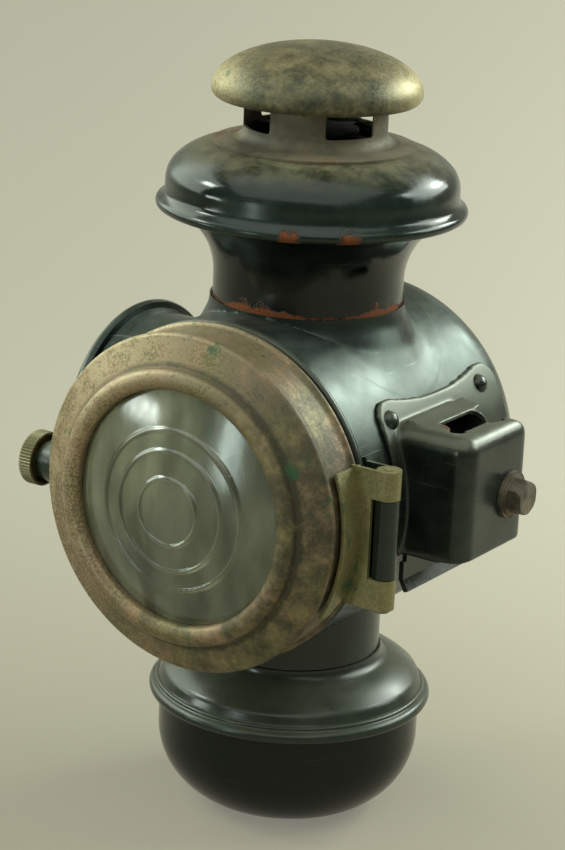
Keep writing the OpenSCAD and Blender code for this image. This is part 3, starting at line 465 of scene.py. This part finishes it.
axisHeight = (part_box("door_bezel")[0].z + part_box("door_bezel")[1].z) / 2
lampAxis = Vector((0, 0, axisHeight))
enamelFinish = {
    "pigment": "#08150f", "faded": "#1a2c24", "haze": "#6b6e5a", "rust": "#9c5526", "rustDark": "#40200f",
    "scuff": "#6b7468", "scratch": 0.35, "chip": "#9a977f", "chipFrom": 0.76, "patch": 20, "dust": 0.5,
    "dustFrom": 0.1, "dustAbove": -0.01, "dustEven": 0.75, "gloss": 0.12, "dull": 0.3, "shine": 0.5,
    "metallic": 0.0, "dents": 3.0, "rustRings": [], "rustSpots": [], "rustFrom": 0.85,
}
satinPlate = {  # plating and brass; a finish below names what it has otherwise
    "mottle": 0.4, "sand": 0.4, "paintedHighlightSide": (0, 0, 0), "bothSides": False, "brightFrom": 0.9,
    "paintedShadeSide": (0, 0, 0), "pitAndShadeFrom": 1.0, "pitAndShadeDepth": 0.7, "greenFrom": 0.68, "grimeRings": [],
    "gloss": 0.32, "dull": 0.52, "metallic": 0.4,
}
sheetFinish = {"grain": 1.2, "rustFrom": 0.9, "metallic": 0.0}
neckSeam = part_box("upper_neck")[0].z + 5 * mm
finishes = {
    "cleanEnamel": bakedEnamel("black baked enamel", enamelFinish),
    "bowlEnamel": bakedEnamel("black baked enamel, little handled", enamelFinish | {
        "pigment": "#040a07", "faded": "#0a140f", "dust": 0.1, "gloss": 0.08, "dull": 0.2, "shine": 0.3}),
    "hoodEnamel": bakedEnamel("black baked enamel, dusty above", enamelFinish | {
        "faded": "#1e2f27", "dust": 1.0, "haze": "#7a745a", "dustFrom": 0.3, "dustEven": 0.25, "gloss": 0.1,
        "dull": 0.34, "shine": 0.42, "dustAbove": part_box("hood")[1].z - 6.5 * mm,
        "rustSpots": [(20, -42, 190.5, 8, 0.6), (34, -32, 190.5, 8, 0.6)]}),
    "neckEnamel": bakedEnamel("black baked enamel rusting at its seams", enamelFinish | {
        "pigment": "#060d0a", "faded": "#0e1915", "dust": 0.1, "shine": 0.4,
        "rustRings": [{"z": neckSeam + 0.2 * mm, "half": 1.8 * mm, "amount": 0.45}],
        "rustSpots": [(-4.3, -29.3, 164.5, 8, 0.5), (3.6, -29.4, 164.5, 8, 0.52), (10, -27, 163.8, 6, 0.35),
                      (28, -6, 165, 8, 0.4), (28.5, 2, 165.8, 7, 0.35)]}),
    "drumEnamel": bakedEnamel("black baked enamel rubbed through to tin", enamelFinish | {
        "pigment": "#1a241f", "faded": "#303b35", "haze": "#78837a", "gloss": 0.2, "dull": 0.42, "dust": 0.4,
        "dustEven": 0.3, "patch": 30, "scratch": 0.7, "scuff": "#a0a897", "metallic": 0.6, "dents": 8.0,
        "rustSpots": [(47, 5, 137, 12, 0.3), (50, -28, 128, 9, 0.3)]}),
    "bracketEnamel": bakedEnamel("black enamel rubbed bright on its folds", enamelFinish | {
        "pigment": "#0d1512", "faded": "#414a41", "haze": "#858873", "gloss": 0.16, "dull": 0.38,
        "scratch": 0.5, "scuff": "#9aa592", "metallic": 0.35, "dents": 5.0, "patch": 42,
        "rustSpots": [(60, -12, 137, 8, 0.5), (61, 8, 137, 9, 0.5), (57, 0, 137, 9, 0.45)]}),
    # painted light on the bezel: bright speckle leans to its lit upper left as painted highlight, pitting to
    # its right as painted shade
    "doorMetal": tarnishedMetal("tarnished nickel-plated brass", satinPlate | {
        "olive": "#736c46", "pink": "#957a5e", "bright": "#c1ad88", "pitAndShadeTone": "#292c20", "green": "#2c5a3a",
        "patch": 17, "mottle": 0.65, "sand": 0.75, "paintedHighlightSide": (-1.6, 0, 2.4), "brightFrom": 1.08,
        "paintedShadeSide": (3.6, 0, 0.4), "pitAndShadeFrom": 0.93, "pitAndShadeDepth": 0.85, "greenFrom": 0.63,
        "grimeRings": [{"radius": 42.3, "half": 1.4, "amount": 0.22},
                       {"radius": 34.2, "half": 1.0, "amount": 0.45}]}),
    # painted light on the cap: bright speckle gathers at its left and right as seen, as painted highlights;
    # pitting gathers towards its front and bottom as painted shade
    "capMetal": tarnishedMetal("tarnished nickel-plated brass, smoked", satinPlate | {
        "olive": "#5a5a42", "pink": "#857b5c", "bright": "#dac994", "pitAndShadeTone": "#232b1f", "green": "#3b5a35",
        "patch": 11, "mottle": 0.8, "paintedHighlightSide": tuple(towardsRight * 15), "bothSides": True,
        "brightFrom": 1.12, "paintedShadeSide": tuple(towardsFront * 5 + Vector((0, 0, -5))), "pitAndShadeFrom": -0.2,
        "pitAndShadeDepth": 0.8, "gloss": 0.3, "metallic": 0.5}),
    "knobMetal": tarnishedMetal("nickel-plated brass gone olive", satinPlate | {
        "olive": "#77754f", "pink": "#7d7354", "bright": "#a9a27a", "pitAndShadeTone": "#33331f", "green": "#34583a",
        "patch": 14, "brightFrom": 0.92, "gloss": 0.36}),
    "hingeMetal": tarnishedMetal("brass hinge plate gone olive", satinPlate | {
        "olive": "#7f7a4e", "pink": "#8d845e", "bright": "#bdb283", "pitAndShadeTone": "#3a3a20", "green": "#3a6447",
        "patch": 13, "mottle": 0.5, "brightFrom": 0.84, "pitAndShadeFrom": 0.97, "pitAndShadeDepth": 0.75,
        "greenFrom": 0.6, "dull": 0.5, "metallic": 0.35}),
    "burnerBrass": tarnishedMetal("brass dulled by lamp oil", satinPlate | {
        "olive": "#8a6f35", "pink": "#9a7a3e", "bright": "#c9a862", "pitAndShadeTone": "#3a2c16", "green": "#3d5c3a",
        "patch": 12, "sand": 0.3, "pitAndShadeFrom": 1.1, "pitAndShadeDepth": 0.6, "greenFrom": 0.78, "gloss": 0.25,
        "dull": 0.45, "metallic": 1.0}),
    "sootedSteel": dullSteel("sooted sheet steel", sheetFinish | {
        "dark": "#4a4638", "pale": "#857c65", "rust": "#6f4a34", "patch": 18, "rustFrom": 0.84,
        "gloss": 0.5, "dull": 0.75, "metallic": 0.15}),
    "lampblack": dullSteel("sheet steel under lampblack", sheetFinish | {
        "dark": "#0b0b0a", "pale": "#171613", "rust": "#2a1c13", "patch": 12, "gloss": 0.7, "dull": 0.9}),
    "rustedSteel": dullSteel("rusted steel bolt", sheetFinish | {
        "dark": "#453f35", "pale": "#857b6b", "rust": "#6b4f3d", "patch": 6, "rustFrom": 0.82,
        "gloss": 0.42, "dull": 0.65, "metallic": 0.4}),
    "reflectorPlate": dullSteel("silver-plated reflector, clouded", sheetFinish | {
        "dark": "#8f9088", "pale": "#b9bab0", "rust": "#5f5a4c", "patch": 22, "rustFrom": 1.05,
        "gloss": 0.25, "dull": 0.45, "metallic": 1.0}),
    "lensGlass": pressedGlass("pressed glass", {
        "tint": "#b3b69e", "cloud": "#64674f", "gloss": 0.1, "dull": 0.28, "clear": 0.76, "coat": 1.0,
        "skin": 0.15}),
    "sideGlass": pressedGlass("sheet glass", {
        "tint": "#d5ddd5", "cloud": "#c4ccc2", "gloss": 0.03, "dull": 0.1, "clear": 1.0, "coat": 0.0,
        "skin": 0.03}),
    "cotton": wovenCotton("woven cotton wick"),
    "cork": dullSteel("aged cork gasket", sheetFinish | {
        "dark": "#2b2018", "pale": "#4a3827", "rust": "#3a2a1c", "patch": 3, "gloss": 0.85, "dull": 0.95}),
}
print("materials ready:", len(finishes))

# Turned sheet metal: each shell is spun from its outline, as the real one was


def arcPoints(centre, radius, fromDeg, toDeg, steps):
    return [(centre[0] + radius * math.cos(math.radians(fromDeg + (toDeg - fromDeg) * i / steps)),
             centre[1] + radius * math.sin(math.radians(fromDeg + (toDeg - fromDeg) * i / steps)))
            for i in range(steps + 1)]


spinAxes = {  # how a form lies: the first ring's turn, the way it grows and the two axes that widen
    "up": {"turn": (0, 0, 0), "along": Vector((0, 0, 1)), "across": (1, 1, 0)},
    "front": {"turn": (math.pi / 2, 0, 0), "along": Vector((0, -1, 0)), "across": (1, 0, 1)},
    "back": {"turn": (-math.pi / 2, 0, 0), "along": Vector((0, 1, 0)), "across": (1, 0, 1)},
    "left": {"turn": (0, -math.pi / 2, 0), "along": Vector((-1, 0, 0)), "across": (0, 1, 1)},
}


def activate(*pieces):  # selects these alone; the last becomes the active one
    bpy.ops.object.select_all(action="DESELECT")
    for piece in pieces:
        piece.select_set(True)
        bpy.context.view_layer.objects.active = piece


def spinForm(name, axis, centre, profile, segments=176, poleFirst=False, poleLast=False, falling=False):
    # rings are extruded one from the last and widened or narrowed about the axis
    spin = spinAxes[axis]

    def spot(ring):
        return centre + spin["along"] * profile[ring][1] * mm

    bpy.ops.object.select_all(action="DESELECT")
    bpy.ops.mesh.primitive_circle_add(vertices=segments, radius=profile[0][0] * mm, location=spot(0),
                                      rotation=spin["turn"])
    piece = bpy.context.object
    piece.name = piece.data.name = name
    bpy.ops.object.mode_set(mode="EDIT")
    bpy.ops.mesh.select_mode(type="EDGE")
    for ring in range(1, len(profile)):
        grow = profile[ring][0] / profile[ring - 1][0]
        bpy.ops.mesh.extrude_edges_move(TRANSFORM_OT_translate={"value": spot(ring) - spot(ring - 1)})
        bpy.ops.transform.resize(value=[grow if wide else 1 for wide in spin["across"]],
                                 center_override=spot(ring))
    bpy.ops.mesh.select_mode(type="VERT")
    if poleLast:
        bpy.ops.mesh.merge(type="CENTER")
    if poleFirst:
        bpy.ops.mesh.select_all(action="DESELECT")
        bpy.ops.object.mode_set(mode="OBJECT")
        for vertex in piece.data.vertices[:segments]:
            vertex.select = True
        bpy.ops.object.mode_set(mode="EDIT")
        bpy.ops.mesh.merge(type="CENTER")
    bpy.ops.mesh.select_all(action="SELECT")
    if falling:
        bpy.ops.mesh.flip_normals()  # an outline that runs down faces inwards
    bpy.ops.object.mode_set(mode="OBJECT")
    bpy.ops.object.transform_apply(location=True, rotation=True, scale=True)
    return piece


def applyModifier(piece, kind, **settings):
    activate(piece)
    modifier = piece.modifiers.new(kind.lower(), kind)
    for name, value in settings.items():
        setattr(modifier, name, value)
    bpy.ops.object.modifier_apply(modifier=modifier.name)


def giveWall(piece, thickness):
    applyModifier(piece, "SOLIDIFY", thickness=thickness * mm, offset=-1, use_even_offset=True)


def combine(piece, tool, operation="DIFFERENCE"):
    applyModifier(piece, "BOOLEAN", object=tool, operation=operation, solver="EXACT")
    bpy.data.objects.remove(tool)


def drill(centre, radius, depth, turn, vertices=128):  # a round cutter whose middle is at centre
    bpy.ops.object.select_all(action="DESELECT")
    bpy.ops.mesh.primitive_cylinder_add(vertices=vertices, radius=radius * mm, depth=depth * mm,
                                        location=centre, rotation=turn)
    bpy.ops.object.transform_apply(location=True, rotation=True, scale=True)
    return bpy.context.object


def block(centre, size, turnDeg=0):  # a box by its middle and its lengths in mm
    bpy.ops.object.select_all(action="DESELECT")
    bpy.ops.mesh.primitive_cube_add(size=1, location=Vector(centre) * mm,
                                    rotation=(0, 0, math.radians(turnDeg)))
    box = bpy.context.object
    box.scale = Vector(size) * mm
    bpy.ops.object.transform_apply(location=True, rotation=True, scale=True)
    return box


def joinInto(piece, *others):
    activate(*others, piece)
    bpy.ops.object.join()


def finishPiece(piece, finish, slot, body, *standsFor, smoothDeg=32):
    activate(piece)
    bpy.ops.object.shade_smooth_by_angle(angle=math.radians(smoothDeg))
    piece.data.materials.clear()
    piece.data.materials.append(finishes[finish])
    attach(piece, body)
    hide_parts(*standsFor)


cap = {  # outline heights are above the widest ring
    "widest": 31.5, "crown": 13.8, "curl": 3.2, "wall": 0.8, "ring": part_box("chimney_cap")[1].z - 13.8 * mm,
    "stepDeg": 3, "poleRadius": 0.5, "sleeveRadius": 22.2, "sleeveFrom": -4.1, "sleeveTo": 9.4,
}


def buildCap():
    outline = arcPoints((cap["widest"] - cap["curl"], 0), cap["curl"], -64, -4, 10)
    for turnDeg in range(0, 90, cap["stepDeg"]):
        turn = math.radians(turnDeg)
        outline.append((cap["widest"] * math.cos(turn), cap["crown"] * math.sin(turn)))
    outline.append((cap["poleRadius"], cap["crown"]))
    ring = Vector((0, 0, cap["ring"]))
    piece = spinForm("capDome", "up", ring, outline, poleLast=True)
    giveWall(piece, cap["wall"])
    sleeve = spinForm("capSleeve", "up", ring, [(cap["sleeveRadius"], cap["sleeveFrom"]),
                                                (cap["sleeveRadius"], cap["sleeveTo"])])
    giveWall(sleeve, cap["wall"])
    joinInto(piece, sleeve)
    finishPiece(piece, "capMetal", "tarnished_nickel", "lamp", "chimney_cap")


hood = {  # heights are above the rolled bead's middle
    "side": 44.1, "sideRound": 9.0, "topRound": 18.2, "rise": 18.1, "mouth": 21.5, "wall": 0.5,
    "beadRadius": 1.8, "beadAt": 45.0, "bead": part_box("hood")[0].z + 1.8 * mm, "bendDeg": 45,
    "crease": [(0.75, 2.35), (0.3, 3.0), (0.05, 4.2)],  # out from the side, and up
    "sideEnd": 0.4, "topRing": 25.5,  # how far the flat side stops short of the bend; a ring on the top
}


def buildHood():
    side, small, large, rise = hood["side"], hood["sideRound"], hood["topRound"], hood["rise"]
    bend = math.radians(hood["bendDeg"])  # where the small bend hands over to the large one
    turnHeight = rise - small - (large - small) * (1 - math.sin(bend))
    outline = arcPoints((hood["beadAt"], 0), hood["beadRadius"], -215, 62, 26)
    outline += [(side + out, up) for out, up in hood["crease"]] + [(side, turnHeight - hood["sideEnd"])]
    outline += arcPoints((side - small, turnHeight), small, 4, hood["bendDeg"], 9)
    outline += arcPoints((side - small - (large - small) * math.cos(bend), rise - large), large, 48, 90, 10)
    outline += [(hood["topRing"], rise), (hood["mouth"], rise)]
    piece = spinForm("hoodShell", "up", Vector((0, 0, hood["bead"])), outline)
    giveWall(piece, hood["wall"])
    finishPiece(piece, "hoodEnamel", "enamel", "lamp", "hood")


neck = {  # heights are above the seam with the drum
    "radius": 28.8, "rings": (-5, 0, 3, 6.2), "flare": 22.0, "flareDeg": 68.0, "flareFrom": 6.5,
    "rim": [(43.6, 27.0), (44.6, 27.2)], "wall": 0.8,
}


def buildNeck():
    radius, flare = neck["radius"], neck["flare"]
    outline = [(radius, height) for height in neck["rings"]]
    outline += arcPoints((radius + flare, neck["flareFrom"]), flare, 180, 180 - neck["flareDeg"], 26)
    piece = spinForm("neckSleeve", "up", Vector((0, 0, neckSeam)), outline + neck["rim"])
    giveWall(piece, neck["wall"])
    finishPiece(piece, "neckEnamel", "enamel", "lamp", "upper_neck")


font = {  # oil tank: bowl below and dome above, joined at a rolled lip
    "footRadius": 17.0, "footRing": 13.0, "bowl": 41.0, "bowlTurn": 24.0, "bowlRing": 30.0, "seam": 36.5,
    "poleRadius": 0.5, "bowlWall": 0.8, "domeWall": 0.6, "lipAt": 42.3, "lipRound": 2.0, "mouth": 13.4,
    "stepCentre": (41.6, 38.95), "stepRound": 0.85, "waist": [(41.15, 40.4), (40.75, 41.9)],
    "domeCentre": (24.5, 26.51), "domeRound": 22.76, "filletCentre": (31.8, 52.02), "fillet": 3.8,
    "gutter": [(28.0, 52.1), (27.4, 51.9)], "neckFoot": [(26.7, 51.8), (26.4, 52.2)], "neckTop": 60.0,
    "neckRadius": 26.4, "neckBevel": 0.5,
}


def buildFont():
    foot = Vector((0, 0, 0))
    wide, narrow, turn = font["bowl"], font["footRadius"], font["bowlTurn"]
    bowl = [(wide, font["seam"]), (wide, font["bowlRing"]), (wide, turn)]
    bowl += arcPoints((narrow, turn), wide - narrow, 0, -90, 40)[1:]
    bowl += [(font["footRing"], 0), (font["poleRadius"], 0)]
    piece = spinForm("fontBowl", "up", foot, bowl, poleLast=True, falling=True)
    giveWall(piece, font["bowlWall"])
    finishPiece(piece, "bowlEnamel", "enamel", "font", "font_bowl")
    throat, top, bevel = font["neckRadius"], font["neckTop"], font["neckBevel"]
    dome = arcPoints((font["lipAt"], font["seam"]), font["lipRound"], -120, 78, 22)
    dome += arcPoints(font["stepCentre"], font["stepRound"], -10, 95, 8) + font["waist"]
    dome += arcPoints(font["domeCentre"], font["domeRound"], 47, 74, 16)
    dome += arcPoints(font["filletCentre"], font["fillet"], 254, 184, 12) + font["gutter"]
    dome += font["neckFoot"] + [(throat, top - bevel), (throat - bevel, top), (font["mouth"], top)]
    piece = spinForm("fontDome", "up", foot, dome)
    giveWall(piece, font["domeWall"])
    finishPiece(piece, "cleanEnamel", "enamel", "font", "font_dome")


drum = {  # lengths run back from the lamp's upright axis
    "radius": 50.9, "rings": (-40, -20, 0, 20, 36), "back": 37.0, "backRound": 20.0, "backBreak": 75,
    "upperHole": 29.3, "lowerHole": 27.5, "windowHole": 33.7, "holeDepth": 60, "holeMiddle": 50,
    "crownTurns": (76.5, 78, 80, 82, 84, 86, 88, 89.5), "segments": 200, "wall": 0.8, "cutter": 120,
    "collarMouth": 28.9, "collarTop": 29.6, "collarBend": 12.0, "collarDeg": 24.6, "collarWall": 0.4,
    "collarReach": (43.0, 33.5), "collarRings": 30, "foldWidth": 8.0, "foldEase": 6,
    "sinkIn": 0.25, "sinkOut": 0.12, "proud": 0.03,  # how the collar lies to the drum, in mm
}


def collarHeight(x, rho):
    # height over the drum's axis of the drum and its pulled collar, run together by a soft fold
    barrel = math.sqrt(drum["radius"] ** 2 - x * x)
    seam = (neckSeam - axisHeight) / mm
    out = rho - drum["collarTop"]
    bend, lean = drum["collarBend"], math.radians(drum["collarDeg"])
    elbow = bend * (1 - math.cos(lean))
    if out < elbow:
        collar = seam - bend * math.sin(math.acos(max(-1, 1 - out / bend)))
    else:
        collar = seam - bend * math.sin(lean) - (out - elbow) / math.tan(lean)
    ease = min(1, max(0, out / drum["foldEase"]))
    width = 0.01 + drum["foldWidth"] * ease * ease * (3 - 2 * ease)
    overlap = max(0, width - abs(barrel - collar)) / width
    return max(barrel, collar) + overlap ** 3 * width / 6


def buildCollar():
    # rings about the upright axis; its foot lies flush with the drum
    points, faces = [], []
    rings, count = drum["collarRings"], drum["segments"]
    sideReach, frontReach = drum["collarReach"]
    for ring in range(-1, rings + 1):
        for step in range(count):
            turn = 2 * math.pi * step / count
            reach = frontReach + (sideReach - frontReach) * abs(math.cos(turn))
            rho = drum["collarTop"] + (reach - drum["collarTop"]) * (max(ring, 0) / rings) ** 1.5
            sink = drum["sinkOut"] if ring == rings else -drum["proud"]
            if ring < 0:
                rho, sink = drum["collarMouth"], drum["sinkIn"]
            x, y = rho * math.cos(turn), rho * math.sin(turn)
            height = (neckSeam - axisHeight) / mm if ring < 0 else collarHeight(x, rho)
            points.append((x * mm, y * mm, axisHeight + (height - sink) * mm))
    for ring in range(rings + 1):
        for step in range(count):
            a, b = ring * count + step, ring * count + (step + 1) % count
            faces.append((a, a + count, b + count, b))
    mesh = bpy.data.meshes.new("pulledCollar")
    mesh.from_pydata(points, [], faces)
    collar = bpy.data.objects.new("pulledCollar", mesh)
    bpy.context.scene.collection.objects.link(collar)
    giveWall(collar, drum["collarWall"])
    return collar


def buildDrum():
    radius, back, corner = drum["radius"], drum["back"], drum["radius"] - drum["backRound"]
    breakTurn = math.radians(drum["backBreak"])
    crown = (corner + drum["backRound"] * math.cos(breakTurn)) / math.cos(breakTurn)
    crownBack = back + (drum["backRound"] - crown) * math.sin(breakTurn)
    outline = [(radius, along) for along in drum["rings"]]
    outline += arcPoints((corner, back), drum["backRound"], 0, drum["backBreak"], 26)
    outline += [(crown * math.cos(math.radians(turn)), crownBack + crown * math.sin(math.radians(turn)))
                for turn in drum["crownTurns"]]
    piece = spinForm("drumShell", "back", lampAxis, outline, segments=drum["segments"], poleLast=True)
    giveWall(piece, drum["wall"])
    reach = drum["holeMiddle"] * mm
    for aside, hole, turn in ((Vector((0, 0, reach)), drum["upperHole"], (0, 0, 0)),
                              (Vector((0, 0, -reach)), drum["lowerHole"], (0, 0, 0)),
                              (Vector((-reach, 0, 0)), drum["windowHole"], (0, math.pi / 2, 0))):
        combine(piece, drill(lampAxis + aside, hole, drum["holeDepth"], turn))
    joinInto(piece, buildCollar())
    finishPiece(piece, "drumEnamel", "enamel", "lamp", "drum", smoothDeg=40)


bezel = {  # lengths run forward from the lamp's upright axis
    "skirt": 50.2, "skirtBack": 44.3, "corner": 60.2, "rim": 51.05, "rimBend": 1.6, "slopeDeg": 18,
    "wall": 0.6, "hemAt": 50.3, "hemRound": 1.0,
    "side": [(0.12, 45.8), (0, 46.9), (0, 50), (0, 55.5), (0.2, 57.0)],  # out from the skirt, forward
    "face": [(48.4, 60.72), (46, 61.72), (43.6, 62.68), (42.4, 63.1), (41.6, 63.5)],  # radius, forward
    "rollAt": 38.4, "roll": 3.1, "rollFlat": 0.8, "rollFront": 64.0, "lip": (35.35, 63.0),
}


def buildBezel():
    skirt, bend = bezel["skirt"], bezel["rimBend"]
    outline = arcPoints((bezel["hemAt"], bezel["skirtBack"]), bezel["hemRound"], 215, 420, 18)
    outline += [(skirt + out, along) for out, along in bezel["side"]]
    outline += arcPoints((bezel["rim"] - bend, bezel["corner"] - bend), bend, -16,
                         90 - bezel["slopeDeg"], 12)
    outline += bezel["face"]
    for reach, forward in arcPoints((bezel["rollAt"], 0), bezel["roll"], 14, 182, 22):
        outline.append((reach, bezel["rollFront"] + forward * bezel["rollFlat"]))
    outline.append(bezel["lip"])
    piece = spinForm("doorBezel", "front", lampAxis, outline, segments=200)
    giveWall(piece, bezel["wall"])
    finishPiece(piece, "doorMetal", "tarnished_nickel", "door", "door_bezel")


lens = {  # lengths run forward from the lamp's upright axis; each ridge has a radius and a half width
    "front": 69.1, "curve": 109.0, "rim": 36.9, "back": 60.6, "backRings": (0.4, 12, 24), "inset": 0.35,
    "ridges": [(10.1, 1.0), (18.0, 1.05), (24.0, 1.1)], "ridgeHeight": 0.55, "step": 0.4, "poleRadius": 0.3,
}


def lensFront(radius):
    surface = lens["front"] - lens["curve"] + math.sqrt(lens["curve"] ** 2 - radius ** 2) - lens["inset"]
    for at, half in lens["ridges"]:
        away = abs(radius - at) / half
        if away < 1:
            surface += lens["ridgeHeight"] * (1 + math.cos(math.pi * away)) / 2
    return surface


def buildLens():
    radii = [lens["rim"] - lens["step"] * i for i in range(int(lens["rim"] / lens["step"]))]
    radii = [radius for radius in radii if radius > lens["poleRadius"]]
    extra = [at + half * part / 6 for at, half in lens["ridges"] for part in range(-7, 8)]
    radii = sorted(set(round(radius, 3) for radius in radii + extra), reverse=True)
    outline = [(radius, lens["back"]) for radius in (*lens["backRings"], lens["rim"])]
    outline += [(radius, lensFront(radius)) for radius in radii] + [(lens["poleRadius"], lensFront(0.2))]
    piece = spinForm("bullsEyeLens", "front", lampAxis, outline, poleFirst=True, poleLast=True)
    finishPiece(piece, "lensGlass", "clear_glass", "door", "lens", smoothDeg=50)


sideTube = {  # lengths run left from the lamp's upright axis
    "radius": 34.5, "rings": (36.2, 46, 56.2), "flare": 6.0, "flareFrom": 56.5, "flareToDeg": 143,
    "lip": 36.6, "lipAt": 61.2, "lipRound": 1.3, "wall": 0.6, "sunk": 0.9,
    "seat": [(33.9, 53.2), (32.1, 53.2), (32.1, 54.0), (33.9, 54.0)],
}


def buildSideTube():
    radius, flare = sideTube["radius"], sideTube["flare"]
    outline = [(radius, along) for along in sideTube["rings"]]
    outline += arcPoints((radius + flare, sideTube["flareFrom"]), flare, 180, sideTube["flareToDeg"], 10)
    outline += arcPoints((sideTube["lip"], sideTube["lipAt"]), sideTube["lipRound"], -40, 200, 20)
    piece = spinForm("sideWindowTube", "left", lampAxis, outline, falling=True)
    giveWall(piece, sideTube["wall"])
    barrel = drill(lampAxis, drum["radius"] - sideTube["sunk"], drum["cutter"], (math.pi / 2, 0, 0), 200)
    combine(piece, barrel)
    joinInto(piece, spinForm("sideWindowSeat", "left", lampAxis, sideTube["seat"], falling=True))
    finishPiece(piece, "drumEnamel", "enamel", "lamp", "side_window_housing")


bracket = {  # pressed plate and boxed socket; centres and sizes in mm, then a turn in degrees
    "box": ((46.1, -4.0, 101.75), (52.2, 36.0, 70.5)), "round": 5.2, "roundSteps": 8, "plate": 52.42,
    "shelf": ((58, -4, 143.0), (20, 80, 13.6)), "voxel": 0.6, "softening": 6,
    "slot": [((59.6, -1, 137.0), (9.6, 20, 6), 0), ((61.5, -11.5, 137.2), (4.2, 9, 6), 28),
             ((63.6, 3.6, 137.0), (6.5, 6.2, 6), -12), ((60.8, 10.2, 137.0), (6.0, 6.2, 6), 14)],
}


def buildBracket():
    piece = bpy.data.objects.new("pressedBracket", nodes["lamp_bracket"].data.copy())
    bpy.context.scene.collection.objects.link(piece)
    activate(piece)
    bpy.ops.object.mode_set(mode="EDIT")
    bpy.ops.mesh.select_all(action="SELECT")
    bpy.ops.mesh.remove_doubles(threshold=0.001 * mm)
    bpy.ops.object.mode_set(mode="OBJECT")
    outside = block(*bracket["box"])  # the socket's outside, with every edge rounded
    bpy.ops.object.mode_set(mode="EDIT")
    bpy.ops.mesh.select_all(action="SELECT")
    bpy.ops.mesh.bevel(offset=bracket["round"] * mm, segments=bracket["roundSteps"], affect="EDGES")
    bpy.ops.object.mode_set(mode="OBJECT")
    barrel = drill(lampAxis, bracket["plate"], drum["cutter"], (math.pi / 2, 0, 0), 256)
    combine(outside, barrel, "UNION")
    combine(outside, block(*bracket["shelf"]), "UNION")  # the shelf stands above the box and is kept whole
    combine(piece, outside, "INTERSECT")
    for centre, size, turnDeg in bracket["slot"]:
        combine(piece, block(centre, size, turnDeg))
    applyModifier(piece, "REMESH", mode="VOXEL", voxel_size=bracket["voxel"] * mm)
    applyModifier(piece, "SMOOTH", factor=0.5, iterations=bracket["softening"])
    finishPiece(piece, "bracketEnamel", "enamel", "lamp", "lamp_bracket", smoothDeg=60)


buildCap()
buildHood()
buildNeck()
print("chimney spun")
buildFont()
print("font spun")
buildDrum()
print("drum spun and its collar pulled")
buildBezel()
buildLens()
buildSideTube()
print("door, lens and side window spun")
buildBracket()
print("bracket pressed")

wearing = {  # which finish each CAD node takes
    "cleanEnamel": ["lower_neck", "door_seat_ring", "hinge_bracket", "catch_boss", "bracket_rivets",
                    "socket_liner"],
    "knobMetal": ["catch_screw", "side_glass_clip"],
    "hingeMetal": ["door_hinge_leaf", "hinge_pin"],
    "burnerBrass": ["burner_collar", "burner_body", "wick_tube", "burner_cone", "wick_spindle",
                    "star_wheels", "wick_knob", "lens_retainer"],
    "sootedSteel": ["chimney_gallery"],
    "lampblack": ["draft_baffle", "flue_funnel"],
    "rustedSteel": ["clamp_nut", "clamp_washer", "clamp_bolt"],
    "reflectorPlate": ["reflector"],
    "sideGlass": ["side_glass"],
    "cotton": ["wick"],
    "cork": ["lens_gasket"],
}
for finish, names in wearing.items():
    for nodeName in names:
        node = nodes[nodeName]
        node.data.materials.clear()
        node.data.materials.append(finishes[finish])
print("CAD nodes dressed")

print("scene done")
